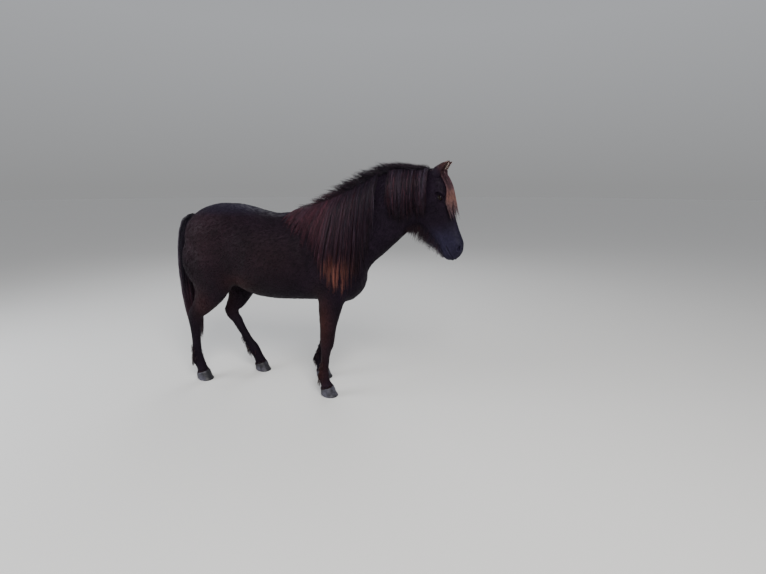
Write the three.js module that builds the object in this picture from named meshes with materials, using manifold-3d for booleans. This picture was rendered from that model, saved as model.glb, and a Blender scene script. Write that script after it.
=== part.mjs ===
// A life-size Icelandic horse standing at rest, as a museum model shows it.
// Millimetres. The horse faces +X, +Y is its left side, +Z is up, and its hooves stand on z = 0.
// Flesh is skinned over rings that span between the two outlines of a side view, so the sizes
// below are the ones a tape would find: how high the back is, how deep the chest is.
// Hair is modelled as flat tapered locks that lie along the flesh, each sunk into it at its root.
import * as THREE from "three";
import { mergeVertices } from "three/addons/utils/BufferGeometryUtils.js";
import Module from "manifold-3d";

const wasm = await Module();
wasm.setup();

// Driving sizes
const GAP = 0.35; // left between two nodes that touch
const ORIGIN = new THREE.Vector3(-194, 0, 0); // middle of the horse's box, on the floor
const HOOF_LENGTH = 114;
const HOOF_WIDTH = 104;
const HOOF_TOE_HEIGHT = 66;
const HOOF_HEEL_HEIGHT = 42;
const POLL = new THREE.Vector2(700, 1600); // x and z of the top of the head
const FACE_SLOPE = THREE.MathUtils.degToRad(70.5); // how steeply the head hangs from the poll
const NECK_SWAY = 150; // how far the neck would sway to the right over its first metre
const NECK_SWAY_FROM = 60;
const EYE_RADIUS = 20;
const EYE_DOWN = 182; // distance down the face from the poll
const EYE_OUT = 2; // distance in front of the line from poll to lips
const EYE_SIDE = 72;

// How far to the right of the middle plane the neck and head lie at this x
function sway(x) {
  const ahead = Math.max(0, x - NECK_SWAY_FROM) / 1000;
  return -NECK_SWAY * ahead * ahead;
}

const point = (x, z) => new THREE.Vector2(x, z);
const clamp = THREE.MathUtils.clamp;
const lerp = THREE.MathUtils.lerp;

// Repeatable random numbers between 0 and 1
function randomFrom(seed) {
  let state = seed;
  return () => {
    state = (state * 1664525 + 1013904223) % 4294967296;
    return state / 4294967296;
  };
}

// Smooth curve through samples that never swings past them
function smoothThrough(knots, values) {
  const steps = knots.slice(1).map((k, i) => k - knots[i]);
  const slopes = steps.map((h, i) => (values[i + 1] - values[i]) / h);
  const tangents = knots.map((_, i) => {
    if (i === 0) return slopes[0];
    if (i === knots.length - 1) return slopes[i - 1];
    const [a, b] = [slopes[i - 1], slopes[i]];
    if (a * b <= 0) return 0;
    const u = 2 * steps[i] + steps[i - 1];
    const v = steps[i] + 2 * steps[i - 1];
    return (u + v) / (u / a + v / b);
  });
  return (at) => {
    let i = knots.findIndex((k, n) => n > 0 && at <= k) - 1;
    if (i < 0) i = at <= knots[0] ? 0 : steps.length - 1;
    const h = steps[i];
    const t = clamp((at - knots[i]) / h, 0, 1);
    const t2 = t * t;
    const t3 = t2 * t;
    return (
      (2 * t3 - 3 * t2 + 1) * values[i] +
      (t3 - 2 * t2 + t) * h * tangents[i] +
      (3 * t2 - 2 * t3) * values[i + 1] +
      (t3 - t2) * h * tangents[i + 1]
    );
  };
}

// Closed surface over rings of points that turn the same way, with a point in each end
function skinOver(rings) {
  const count = rings[0].length;
  const points = [...rings.flat()];
  const centre = (ring) =>
    ring.reduce((sum, p) => sum.add(p), new THREE.Vector3()).divideScalar(count);
  const first = points.length;
  const last = first + 1;
  points.push(centre(rings[0]), centre(rings.at(-1)));
  const end = (rings.length - 1) * count;
  const faces = [];
  for (let i = 0; i < count; i++) {
    const j = (i + 1) % count;
    faces.push(first, j, i);
    for (let a = 0; a < end; a += count) {
      const b = a + count;
      faces.push(a + i, a + j, b + i, a + j, b + j, b + i);
    }
    faces.push(end + i, end + j, last);
  }
  const shape = new THREE.BufferGeometry().setFromPoints(points);
  shape.setIndex(faces);
  return shape;
}

// A geometry as a solid, turned right side out if need be
function solidOf(shape) {
  const bare = shape.clone();
  for (const name of Object.keys(bare.attributes)) {
    if (name !== "position") bare.deleteAttribute(name);
  }
  const merged = mergeVertices(bare, 1e-3);
  const triVerts = new Uint32Array(merged.index.array);
  const vertProperties = new Float32Array(merged.attributes.position.array);
  const make = () => new wasm.Manifold(new wasm.Mesh({ numProp: 3, vertProperties, triVerts }));
  const made = make();
  if (made.volume() > 0) return made;
  for (let i = 0; i < triVerts.length; i += 3) {
    [triVerts[i + 1], triVerts[i + 2]] = [triVerts[i + 2], triVerts[i + 1]];
  }
  return make();
}

const skinned = (rings) => solidOf(skinOver(rings));
const join = (solids) => solids.reduce((all, next) => all.add(next));
const cut = (solid, ...tools) => tools.reduce((left, tool) => left.subtract(tool), solid);

// The largest closed surface of a solid, which drops scraps and fills sealed hollows
const largest = (solid) =>
  solid.decompose().reduce((a, b) => (b.volume() > a.volume() ? b : a));

function geometryOf(solid) {
  const mesh = solid.getMesh();
  const shape = new THREE.BufferGeometry();
  shape.setAttribute("position", new THREE.BufferAttribute(mesh.vertProperties, 3));
  shape.setIndex(new THREE.BufferAttribute(mesh.triVerts, 1));
  shape.computeVertexNormals();
  return shape;
}

// One ring. It spans between a point of the upper (or front) outline and one of the lower (or back)
// outline, both seen from the side. widest says where along that span it is widest. above and below
// are how round it is on either side of there: 2 is an ellipse, more is boxier, less is sharper.
function ring({ upper, lower, side, half, widest, above, below }, count, grow) {
  const span = new THREE.Vector2().subVectors(upper, lower);
  const length = span.length();
  const up = span.clone().divideScalar(length);
  const middle = lower.clone().addScaledVector(span, widest);
  return Array.from({ length: count }, (_, i) => {
    const turn = (2 * Math.PI * i) / count;
    const across = Math.cos(turn);
    const along = Math.sin(turn);
    const power = 2 / (along > 0 ? above : below);
    const reach = length * (along > 0 ? 1 - widest : widest) + grow;
    const h = Math.sign(along) * Math.abs(along) ** power * reach;
    const w = Math.sign(across) * Math.abs(across) ** power * (half + grow);
    return new THREE.Vector3(middle.x + up.x * h, side + w, middle.y + up.y * h);
  });
}

// Rings at even steps through stations, whose sizes follow smooth curves from one to the next
function ringsThrough(stations, steps, count, grow = 0) {
  const full = stations.map((s) => ({ side: 0, widest: 0.5, above: 2, below: 2, ...s }));
  const middles = full.map((s) => new THREE.Vector2().addVectors(s.upper, s.lower).divideScalar(2));
  const knots = [0];
  for (let i = 1; i < full.length; i++) {
    knots.push(knots[i - 1] + middles[i].distanceTo(middles[i - 1]));
  }
  const through = (read) => smoothThrough(knots, full.map(read));
  const outline = [
    through((s) => s.upper.x),
    through((s) => s.upper.y),
    through((s) => s.lower.x),
    through((s) => s.lower.y),
  ];
  const names = ["side", "half", "widest", "above", "below"];
  const curves = names.map((name) => through((s) => s[name]));
  return Array.from({ length: steps + 1 }, (_, i) => {
    const at = (knots.at(-1) * i) / steps;
    const [ux, uz, lx, lz] = outline.map((curve) => curve(at));
    const station = { upper: point(ux, uz), lower: point(lx, lz) };
    names.forEach((name, n) => (station[name] = curves[n](at)));
    return ring(station, count, grow);
  });
}

// Pushes flesh outwards on both sides round a place seen from the side, or pulls it in
function swell(rings, places, seenFrom = (p) => [p.x, p.z]) {
  for (const p of rings.flat()) {
    const [a, b] = seenFrom(p);
    const flank = Math.abs(p.y) / (Math.abs(p.y) + 25);
    let push = 0;
    for (const [ca, cb, ra, rb, height] of places) {
      push += height * Math.exp(-(((a - ca) / ra) ** 2) - ((b - cb) / rb) ** 2);
    }
    p.y += Math.sign(p.y) * push * flank;
  }
  return rings;
}

// Torso, from the breast to the buttocks.
// x, top, bottom, half width, widest level, roundness above and below
const TORSO = [
  [236, 925, 845, 40, 0.5, 2, 2],
  [222, 988, 798, 96, 0.5, 2, 2.1],
  [180, 1060, 737, 142, 0.5, 2, 2.2],
  [110, 1165, 690, 172, 0.48, 1.9, 2.3],
  [20, 1285, 684, 190, 0.46, 1.8, 2.4],
  [-90, 1346, 690, 206, 0.45, 1.7, 2.3],
  [-200, 1349, 688, 230, 0.46, 1.75, 2.3],
  [-320, 1322, 683, 252, 0.48, 2, 2.3],
  [-430, 1314, 680, 265, 0.49, 2.1, 2.25],
  [-540, 1332, 686, 269, 0.5, 2.15, 2.2],
  [-650, 1360, 708, 262, 0.52, 2.15, 2.2],
  [-760, 1378, 752, 250, 0.56, 2.2, 2.1],
  [-870, 1380, 812, 244, 0.58, 2.25, 2.1],
  [-970, 1360, 868, 230, 0.58, 2.2, 2.1],
  [-1060, 1320, 905, 196, 0.56, 2.1, 2],
  [-1130, 1262, 945, 142, 0.56, 2, 2],
  [-1168, 1195, 1010, 70, 0.5, 2, 2],
];
const TORSO_SWELLS = [
  [150, 985, 60, 70, 10],
  [-20, 860, 90, 85, 12],
  [20, 1110, 90, 150, 8],
  [-690, 985, 90, 110, -16],
  [-730, 1270, 70, 60, 12],
  [-1000, 1130, 110, 110, 10],
];

// Neck. Each row pairs a point of the crest with one of the underside:
// x and z above, x and z below, half width, widest level, roundness above
const NECK = [
  [-215, 1330, 120, 770, 140, 0.42, 1.5],
  [-90, 1384, 222, 868, 146, 0.42, 1.5],
  [50, 1440, 292, 965, 128, 0.44, 1.55],
  [190, 1508, 372, 1042, 108, 0.46, 1.6],
  [330, 1568, 450, 1115, 94, 0.48, 1.7],
  [470, 1600, 524, 1185, 86, 0.5, 1.8],
  [590, 1602, 580, 1238, 82, 0.54, 1.9],
  [672, 1582, 628, 1300, 74, 0.56, 2],
];

// Head. Distance down the face from the poll, how far the face and the jaw stand in front of and
// behind the line from poll to lips, half width, widest level, roundness in front and behind
const HEAD = [
  [-14, 0, -60, 26, 0.5, 2, 2],
  [0, 22, -95, 48, 0.55, 2.1, 2],
  [30, 44, -130, 68, 0.62, 2.2, 1.9],
  [80, 58, -168, 82, 0.66, 2.4, 1.8],
  [130, 65, -200, 92, 0.68, 2.5, 1.75],
  [180, 64, -220, 91, 0.68, 2.4, 1.75],
  [230, 58, -224, 76, 0.67, 2.2, 1.8],
  [290, 53, -206, 63, 0.64, 2.1, 1.85],
  [350, 50, -172, 54, 0.61, 2.05, 1.95],
  [410, 50, -136, 49, 0.58, 2, 2.1],
  [460, 53, -112, 50, 0.57, 2.1, 2.2],
  [500, 52, -101, 54, 0.56, 2.3, 2.2],
  [532, 40, -96, 55, 0.54, 2.4, 2.2],
  [558, 20, -86, 49, 0.52, 2.4, 2.2],
  [574, -4, -68, 36, 0.5, 2.2, 2.1],
  [580, -22, -50, 20, 0.5, 2, 2],
];
const downFace = new THREE.Vector2(Math.cos(FACE_SLOPE), -Math.sin(FACE_SLOPE));
const outOfFace = new THREE.Vector2(Math.sin(FACE_SLOPE), Math.cos(FACE_SLOPE));
const onHead = (down, out) =>
  POLL.clone().addScaledVector(downFace, down).addScaledVector(outOfFace, out);
const fromHead = (p) => {
  const away = point(p.x, p.z).sub(POLL);
  return [away.dot(downFace), away.dot(outOfFace)];
};
const HEAD_SWELLS = [
  [155, 22, 26, 22, 9], // brow
  [105, 10, 30, 26, -6], // hollow over the eye
  [215, -95, 70, 60, 6], // cheek
  [262, -18, 60, 13, 5], // facial crest
  [330, 20, 60, 22, -4], // beside the nose bone
  [505, 26, 26, 20, 5], // nostril wing
  [552, -38, 18, 10, -4], // between the lips
];

// Legs. The joints are seen from the side, and sides holds how far each is from the middle plane
const LEGS = {
  fore_right: {
    joints: [point(40, 900), point(-16, 402), point(-48, 134), point(-24, 64)],
    sides: [-100, -142, -145, -146],
  },
  fore_left: {
    joints: [point(15, 900), point(-122, 412), point(-210, 150), point(-182, 64)],
    sides: [100, 138, 142, 144],
  },
  hind_right: {
    joints: [point(-940, 1110), point(-800, 850), point(-1112, 500), point(-1122, 162), point(-1086, 66)],
    outward: -1,
  },
  hind_left: {
    joints: [point(-930, 1110), point(-748, 866), point(-962, 488), point(-782, 172), point(-730, 66)],
    outward: 1,
  },
};

// Which bone, how far down it, how far the leg reaches in front and behind, half width
const FORE_ROWS = [
  [0, -0.06, 82, 84, 36],
  [0, 0.08, 104, 100, 56],
  [0, 0.25, 106, 112, 66],
  [0, 0.42, 88, 101, 61],
  [0, 0.6, 67, 84, 53],
  [0, 0.8, 53, 66, 45],
  [0, 0.95, 52, 57, 44],
  [1, 0.06, 48, 51, 42],
  [1, 0.22, 34, 42, 35],
  [1, 0.5, 28, 36, 29],
  [1, 0.78, 30, 40, 30],
  [1, 0.97, 40, 46, 38],
  [2, 0.45, 36, 40, 36],
  [2, 1, 45, 46, 45],
];

// The hind leg as it stands square. x and z in front, x and z behind, distance from the middle
// plane, half width, and which bone it moves with when the leg steps forward
const HIND_ROWS = [
  [-815, 1215, -1040, 1185, 100, 50, 0],
  [-758, 1110, -1128, 1100, 116, 86, 0],
  [-728, 1000, -1162, 1012, 134, 106, 0],
  [-718, 905, -1156, 928, 146, 108, 0.1],
  [-732, 822, -1124, 853, 151, 97, 0.4],
  [-774, 745, -1084, 794, 151, 80, 0.8],
  [-838, 672, -1070, 735, 148, 65, 1],
  [-914, 606, -1090, 668, 144, 54, 1],
  [-990, 550, -1126, 606, 140, 45, 1],
  [-1044, 512, -1158, 556, 138, 43, 1.3],
  [-1064, 470, -1168, 498, 137, 43, 1.7],
  [-1077, 424, -1160, 432, 137, 40, 2],
  [-1085, 372, -1157, 376, 136, 35, 2],
  [-1090, 300, -1158, 302, 136, 31, 2],
  [-1090, 226, -1164, 226, 136, 32, 2],
  [-1078, 168, -1170, 156, 136, 39, 2.2],
  [-1060, 112, -1138, 94, 136, 37, 3],
];
const SQUARE = LEGS.hind_right.joints;

// The coronet's plane leans, lower at the heel than at the toe
const coronetLean = Math.atan2(HOOF_TOE_HEIGHT - HOOF_HEEL_HEIGHT, HOOF_LENGTH * 0.8);
const alongCoronet = point(Math.cos(coronetLean), Math.sin(coronetLean));
const coronetAt = (joint, side) => ({
  upper: joint.clone().addScaledVector(alongCoronet, 45),
  lower: joint.clone().addScaledVector(alongCoronet, -46),
  side,
  half: 45,
});

function foreStations({ joints, sides }) {
  const bones = joints.slice(1).map((j, i) => new THREE.Vector2().subVectors(j, joints[i]));
  const stations = FORE_ROWS.slice(0, -1).map(([bone, down, front, back, half]) => {
    const here = joints[bone].clone().addScaledVector(bones[bone], down);
    const along = bones[bone].clone().normalize();
    const neighbour = bones[down > 0.5 ? bone + 1 : bone - 1];
    const share = 4 * Math.min(Math.abs(down - 0.5), 0.5) ** 2;
    if (neighbour) along.addScaledVector(neighbour.clone().normalize(), share).normalize();
    const forward = point(-along.y, along.x);
    return {
      upper: here.clone().addScaledVector(forward, front),
      lower: here.clone().addScaledVector(forward, -back),
      side: lerp(sides[bone], sides[bone + 1], down),
      half,
    };
  });
  return [...stations, coronetAt(joints.at(-1), sides.at(-1))];
}

// Carries a place on the square leg along with one bone of a leg that stands differently
function carried(place, joints, bone) {
  const angle = (list) => new THREE.Vector2().subVectors(list[bone + 1], list[bone]).angle();
  const moved = place.clone().rotateAround(SQUARE[bone], angle(joints) - angle(SQUARE));
  return moved.add(joints[bone]).sub(SQUARE[bone]);
}

function hindStations({ joints, outward }) {
  const stations = HIND_ROWS.map(([fx, fz, bx, bz, side, half, bone]) => {
    const low = Math.floor(bone);
    const high = Math.ceil(bone);
    const [upper, lower] = [point(fx, fz), point(bx, bz)].map((place) =>
      carried(place, joints, low).lerp(carried(place, joints, high), bone - low),
    );
    return { upper, lower, side: side * outward, half };
  });
  return [...stations, coronetAt(joints.at(-1), 137 * outward)];
}

const legStations = (leg) => (leg.outward ? hindStations(leg) : foreStations(leg));

// Hoof: from the coronet, which faces the leg across the gap, down to a flat sole
function hoofRings(leg) {
  const coronet = legStations(leg).at(-1);
  const away = point(alongCoronet.y, -alongCoronet.x).multiplyScalar(GAP);
  const toe = coronet.upper.clone().add(away);
  const heel = coronet.lower.clone().add(away);
  const side = coronet.side;
  const stations = [
    { upper: toe, lower: heel, side, half: 46 },
    { upper: toe.clone().add(point(5, -8)), lower: heel.clone().add(point(-3, -5)), side, half: 49.5 },
    { upper: point(toe.x + 24, 22), lower: point(heel.x - 2, 12), side, half: HOOF_WIDTH / 2 - 2 },
    { upper: point(toe.x + 37, 0), lower: point(toe.x + 37 - HOOF_LENGTH, 0), side, half: HOOF_WIDTH / 2 },
  ];
  return stations.map((s) => ring({ widest: 0.55, above: 2, below: 2.6, ...s }, COUNT.hoof, 0));
}

const COUNT = { torso: 26, neck: 18, head: 22, leg: 12, hoof: 16 };
const STEPS = { torso: 19, neck: 10, head: 22, fore: 15, hind: 18 };

const stationsOf = (rows, make) => rows.map(make);
const torsoStations = stationsOf(TORSO, ([x, top, bottom, half, widest, above, below]) => ({
  upper: point(x, top),
  lower: point(x, bottom),
  half,
  widest,
  above,
  below,
}));
const neckStations = stationsOf(NECK, ([ux, uz, lx, lz, half, widest, above]) => ({
  upper: point(ux, uz),
  lower: point(lx, lz),
  half,
  widest,
  above,
}));
const headStations = stationsOf(HEAD, ([down, front, jaw, half, widest, above, below]) => ({
  upper: onHead(down, front),
  lower: onHead(down, jaw),
  half,
  widest,
  above,
  below,
}));
function swayed(rings) {
  for (const p of rings.flat()) p.y += sway(p.x);
  return rings;
}
const torsoFlesh = (grow) =>
  skinned(swell(ringsThrough(torsoStations, STEPS.torso, COUNT.torso, grow), TORSO_SWELLS));
const neckFlesh = (grow) => skinned(swayed(ringsThrough(neckStations, STEPS.neck, COUNT.neck, grow)));
const headFlesh = (grow) =>
  skinned(swayed(swell(ringsThrough(headStations, STEPS.head, COUNT.head, grow), HEAD_SWELLS, fromHead)));

// A ball stretched along three directions
function blob(centre, size, turn = new THREE.Euler(), [round, tall] = [14, 10]) {
  const shape = new THREE.SphereGeometry(1, round, tall);
  const pose = new THREE.Matrix4().compose(centre, new THREE.Quaternion().setFromEuler(turn), size);
  return solidOf(shape.applyMatrix4(pose));
}

// A round bar along a path, whose radius follows the list
function bar(path, radii, count = 8) {
  const rings = path.map((p, i) => {
    const ahead = path[Math.min(i + 1, path.length - 1)];
    const behind = path[Math.max(i - 1, 0)];
    const along = new THREE.Vector3().subVectors(ahead, behind).normalize();
    const aside = new THREE.Vector3(0, 1, 0).cross(along).normalize();
    const other = new THREE.Vector3().crossVectors(along, aside);
    return Array.from({ length: count }, (_, k) => {
      const turn = (2 * Math.PI * k) / count;
      return p
        .clone()
        .addScaledVector(aside, radii[i] * Math.cos(turn))
        .addScaledVector(other, radii[i] * Math.sin(turn));
    });
  });
  return skinned(rings);
}

// A flat lock of hair along a path. Its flat side faces the way given, and it tapers to its tip.
function lock(path, facing, width, thick) {
  const last = path.length - 1;
  const rings = path.map((p, i) => {
    const ahead = path[Math.min(i + 1, last)];
    const behind = path[Math.max(i - 1, 0)];
    const along = new THREE.Vector3().subVectors(ahead, behind).normalize();
    const out = facing(p, i / last);
    out.addScaledVector(along, -out.dot(along)).normalize();
    const aside = new THREE.Vector3().crossVectors(along, out);
    const wide = width * LOCK_WIDTH(i / last);
    const deep = thick * LOCK_DEPTH(i / last);
    return [
      p.clone().addScaledVector(aside, wide),
      p.clone().addScaledVector(out, deep),
      p.clone().addScaledVector(aside, -wide),
      p.clone().addScaledVector(out, -deep),
    ];
  });
  return skinned(rings);
}
const LOCK_WIDTH = smoothThrough([0, 0.3, 0.7, 1], [0.35, 1, 0.9, 0.1]);
const LOCK_DEPTH = smoothThrough([0, 0.3, 1], [0.8, 1, 0.25]);

// A place on the head, given down the face, out of it, and to one side of its middle
function headPlace(down, out, aside) {
  const seen = onHead(down, out);
  return new THREE.Vector3(seen.x, sway(seen.x) + aside, seen.y);
}

const eyeCentre = (side) => headPlace(EYE_DOWN, EYE_OUT, side * EYE_SIDE);
const eyeball = (side, grow) => {
  const size = EYE_RADIUS + grow;
  return blob(eyeCentre(side), new THREE.Vector3(size, size, size), new THREE.Euler(Math.PI / 2, 0, 0), [12, 8]);
};

// The lids: two bars that hug the eyeball above and below its opening
function lids(side) {
  return [1, -1].map((above) => {
    const path = [];
    for (let k = 0; k <= 6; k++) {
      const turn = lerp(-1, 1, k / 6);
      const open = (above > 0 ? 8.5 : 9.5) * (1 - turn * turn) + 1;
      const along = 19 * turn;
      const out = Math.sqrt(Math.max(0, (EYE_RADIUS + 1.5) ** 2 - along * along - open * open));
      path.push(
        headPlace(EYE_DOWN + 2 + along * 0.9 - above * open * 0.45, EYE_OUT + above * open * 0.9 + along * 0.45, side * (EYE_SIDE + out)),
      );
    }
    return bar(path, path.map((_, k) => 2 + 3.2 * Math.sin((Math.PI * k) / 6)), 5);
  });
}

// The line of the mouth, seen from the side, as a thin blade through both lips
function mouthBlade() {
  const line = [
    [590, -34, 2.6],
    [570, -36, 2.2],
    [545, -42, 1.8],
    [520, -49, 1.6],
    [498, -55, 1.4],
    [484, -56, 0.6],
  ];
  return skinned(
    line.map(([down, out, half]) =>
      [
        [-half, -90],
        [half, -90],
        [half, 90],
        [-half, 90],
      ].map(([off, aside]) => headPlace(down + off * 0.25, out + off, aside)),
    ),
  );
}

// Nostril: a comma of two stretched balls, sunk into its wing
function nostril(side) {
  return join([
    blob(headPlace(522, 20, side * 50), new THREE.Vector3(10, 15, 15), new THREE.Euler(0, 0.5, side * 0.5), [8, 6]),
    blob(headPlace(508, 22, side * 54), new THREE.Vector3(6, 10, 12), new THREE.Euler(0, 0.9, side * 0.4), [8, 6]),
  ]);
}

// Ear: a leaf pricked forwards, whose cup opens forwards, down and a little outwards
function ear(side, grow = 0) {
  const base = headPlace(35, 22, side * 50);
  const tip = base.clone().add(new THREE.Vector3(78, side * 16, 78));
  const along = new THREE.Vector3().subVectors(tip, base);
  const length = along.length();
  along.normalize();
  const open = new THREE.Vector3(0.6, side * 0.3, -0.75);
  open.addScaledVector(along, -open.dot(along)).normalize();
  const across = new THREE.Vector3().crossVectors(along, open);
  const leaf = (rows, shift) =>
    skinned(
      rows.map(([at, wide, deep, forward]) =>
        Array.from({ length: 10 }, (_, k) => {
          const turn = (2 * Math.PI * k) / 10;
          return base
            .clone()
            .addScaledVector(along, at * length)
            .addScaledVector(across, (wide + grow) * Math.cos(turn))
            .addScaledVector(open, (deep + grow) * Math.sin(turn) + forward + shift);
        }),
      ),
    );
  const outer = leaf([
    [-0.22, 18, 24, 0],
    [0.05, 26, 38, 0],
    [0.28, 29, 35, 1],
    [0.5, 27, 29, 2],
    [0.7, 20, 20, 3],
    [0.87, 11, 10, 3],
    [1, 2.5, 2.5, 5],
  ], 0);
  const scoop = leaf([
    [0.1, 5, 8, 14],
    [0.2, 17, 28, 13],
    [0.4, 22, 27, 13],
    [0.6, 18, 21, 12],
    [0.78, 12, 13, 9],
    [0.92, 4, 4, 13],
  ], 3);
  return grow > 0 ? outer : cut(outer, scoop);
}

// Everything the hair lies on, for measuring from
const fleshParts = [torsoFlesh(0), neckFlesh(0), headFlesh(0)];
const legSolids = {};
for (const [name, leg] of Object.entries(LEGS)) {
  const fore = name.startsWith("fore");
  legSolids[name] = skinned(ringsThrough(legStations(leg), fore ? STEPS.fore : STEPS.hind, COUNT.leg));
}
const fleshMesh = new THREE.Mesh(
  geometryOf(join([...fleshParts, ...Object.values(legSolids)])),
  new THREE.MeshBasicMaterial(),
);
const caster = new THREE.Raycaster();
function firstHit(from, direction) {
  caster.set(from, direction);
  const hits = caster.intersectObject(fleshMesh);
  return hits.length > 0 ? hits[0].point : null;
}
const topAt = (x, y = sway(x)) => firstHit(new THREE.Vector3(x, y, 2500), new THREE.Vector3(0, 0, -1)).z;

// Mane guides. A strand grows from the crest at the first x and ends at the x and z after it
const MANE = [
  [-335, -385, 1292],
  [-265, -335, 1250],
  [-200, -275, 1212],
  [-140, -215, 1160],
  [-80, -152, 1100],
  [-20, -92, 1010],
  [40, -25, 925],
  [90, 28, 832],
  [140, 78, 804],
  [190, 132, 814],
  [230, 180, 842],
  [260, 224, 905],
  [285, 266, 1010],
  [306, 298, 1130],
  [322, 318, 1290],
  [345, 338, 1440],
  [392, 394, 1430],
  [422, 436, 1300],
  [490, 498, 1268],
  [550, 558, 1270],
  [610, 618, 1284],
  [655, 664, 1300],
  [682, 680, 1318],
];
const maneTipX = smoothThrough(MANE.map((g) => g[0]), MANE.map((g) => g[1]));
const maneTipZ = smoothThrough(MANE.map((g) => g[0]), MANE.map((g) => g[2]));

// Where a strand of the mane runs on the right side. down goes from 0 at the crest to 1 at the tip
function manePlace(root, down, lift) {
  const top = topAt(root);
  const tip = point(maneTipX(root), maneTipZ(root));
  const swept = lerp(0.75, 0.25, THREE.MathUtils.smoothstep(root, 60, 240));
  const knee = point(lerp(root, tip.x, swept), top - (top - tip.y) * 0.33);
  const u = 1 - down;
  const x = u * u * root + 2 * u * down * knee.x + down * down * tip.x;
  const z = u * u * (top + 10) + 2 * u * down * knee.y + down * down * tip.y;
  let hit = null;
  for (let probe = Math.min(z, topAt(x) - 22); !hit; probe += 12) {
    hit = firstHit(new THREE.Vector3(x, -900, probe), new THREE.Vector3(0, 1, 0));
  }
  const settle = clamp(down / 0.14, 0, 1);
  const y = lerp(sway(x) - 4, hit.y - lift, settle * settle * (3 - 2 * settle));
  return new THREE.Vector3(x, y, z);
}

// The bulk of the mane, as far down the strands as reach
function maneCore(reach, roots) {
  const downs = [0.15, 0.35, 0.65, 1].map((d) => d * reach);
  return skinned(
    roots.map((root) => {
      const top = topAt(root);
      const middle = sway(root);
      const over = [
        new THREE.Vector3(root, middle + 24, top - 26),
        new THREE.Vector3(root, middle + 18, top + 14),
        new THREE.Vector3(root, middle - 4, top + 30),
      ];
      const outer = downs.map((d) => manePlace(root, d, lerp(12, 7, d / reach)));
      const inner = [...downs].reverse().map((d) => manePlace(root, d, -16));
      inner.pop();
      return [...over, ...outer, ...inner, new THREE.Vector3(root, middle - 2, top - 34)];
    }),
  );
}
// One lock of the mane, from inside the crest to past or short of its guide's tip
function maneLock(root, length, lift, width, drift) {
  const start = new THREE.Vector3(root, sway(root) - 6, topAt(root) - 16);
  const path = [0.09, 0.34, 0.68, 1].map((d) => {
    const place = manePlace(root, d * length, lift * lerp(1, 0.55, d));
    place.x += drift * Math.sin(2.4 * d) * d;
    return place;
  });
  return lock([start, ...path], (p, t) => new THREE.Vector3(0, -1, t < 0.3 ? 0.9 : 0.15), width, 5.5);
}
function maneLocks(count) {
  const random = randomFrom(7);
  return Array.from({ length: count }, (_, i) => {
    const root = lerp(-322, 656, (i + 0.8 * random()) / count);
    const outer = i % 2;
    const length = outer ? lerp(0.84, 1.02, random()) : lerp(0.74, 1, random());
    const width = lerp(23, 29, random());
    return maneLock(root, length, outer ? 38 : 25, width, lerp(-20, 20, random()));
  });
}

// Short hair that rises from the crest and sweeps back over it, each lock over the next
function crestLocks(count) {
  const random = randomFrom(11);
  return Array.from({ length: count }, (_, i) => {
    const root = lerp(-150, 676, (i + 0.4 * random()) / count);
    const rise = lerp(48, 66, random());
    const lean = lerp(-6, 26, random());
    const sweep = lerp(118, 150, random());
    const path = [0, 0.28, 0.6, 1].map((t) => {
      const x = root - sweep * t * lerp(0.5, 1, t);
      return new THREE.Vector3(x, sway(x) + 6 + lean * t, topAt(x) + lerp(-10, rise, t * (1.5 - 0.5 * t)));
    });
    return lock(path, () => new THREE.Vector3(0.1, -1, 0.2), lerp(21, 26, random()), 7);
  });
}

const maneRoots = Array.from({ length: 17 }, (_, i) => lerp(-325, 668, i / 16));

// Forelock guides: how far down the face and to which side of its middle a strand ends
function forelockPlace(start, end, down, lift) {
  const at = lerp(2, 305, down);
  const aside = clamp(lerp(start, end, down * (1.4 - 0.4 * down)), -62, 40);
  const from = headPlace(at, 300, aside);
  from.y += sway(onHead(at, 50).x) - sway(from.x);
  const direction = new THREE.Vector3(-outOfFace.x, 0, -outOfFace.y);
  const hit = firstHit(from, direction);
  const onFace = hit !== null && hit.distanceTo(from) < 310;
  const place = onFace ? hit : headPlace(at, 20, aside);
  return place.addScaledVector(direction, -lift);
}
function forelockCore(reach) {
  const downs = [0.1, 0.25, 0.45, 0.7, 1].map((d) => d * reach);
  const strands = [
    [14, 6],
    [4, -12],
    [-8, -30],
    [-18, -46],
    [-26, -58],
  ];
  return skinned(
    strands.map(([start, end]) => [
      ...downs.map((d) => forelockPlace(start, end, d, lerp(12, 8, d))),
      ...[...downs].reverse().map((d) => forelockPlace(start, end, d, -8)),
    ]),
  );
}

// Beard: the fringe that hangs from the jaw, as one ridge
function beardCore(depth, grow = 0) {
  const jaw = smoothThrough(HEAD.map((row) => row[0]), HEAD.map((row) => row[2]));
  return skinned(
    [190, 225, 265, 305, 345, 385, 425, 460].map((down, i) => {
      const edge = jaw(down);
      const hang = depth * [0.5, 1, 1.1, 1.1, 1, 0.85, 0.7, 0.3][i];
      const upper = onHead(down, edge + 30);
      const lower = onHead(down + 12, edge - hang);
      const half = [22, 30, 30, 28, 26, 24, 22, 14][i];
      return ring({ upper, lower, side: sway(upper.x), half, widest: 0.6, above: 2, below: 1.4 }, 10, grow);
    }),
  );
}

function forelockLocks(count) {
  const random = randomFrom(5);
  return Array.from({ length: count }, (_, i) => {
    const t = (i + 0.5 * random()) / count;
    const start = lerp(15, -26, t);
    const end = lerp(14, -58, t) + lerp(-6, 6, random());
    const reach = lerp(0.82, 1.04, random());
    const lift = i % 2 ? 25 : 14;
    const path = [0.05, 0.18, 0.42, 0.72, 1].map((d, k) =>
      forelockPlace(start, end, d * reach, k === 0 ? -10 : lift * lerp(1, 0.5, d)),
    );
    return lock(path, () => new THREE.Vector3(outOfFace.x, -0.2, outOfFace.y), lerp(15, 19, random()), 4.5);
  });
}

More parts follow.
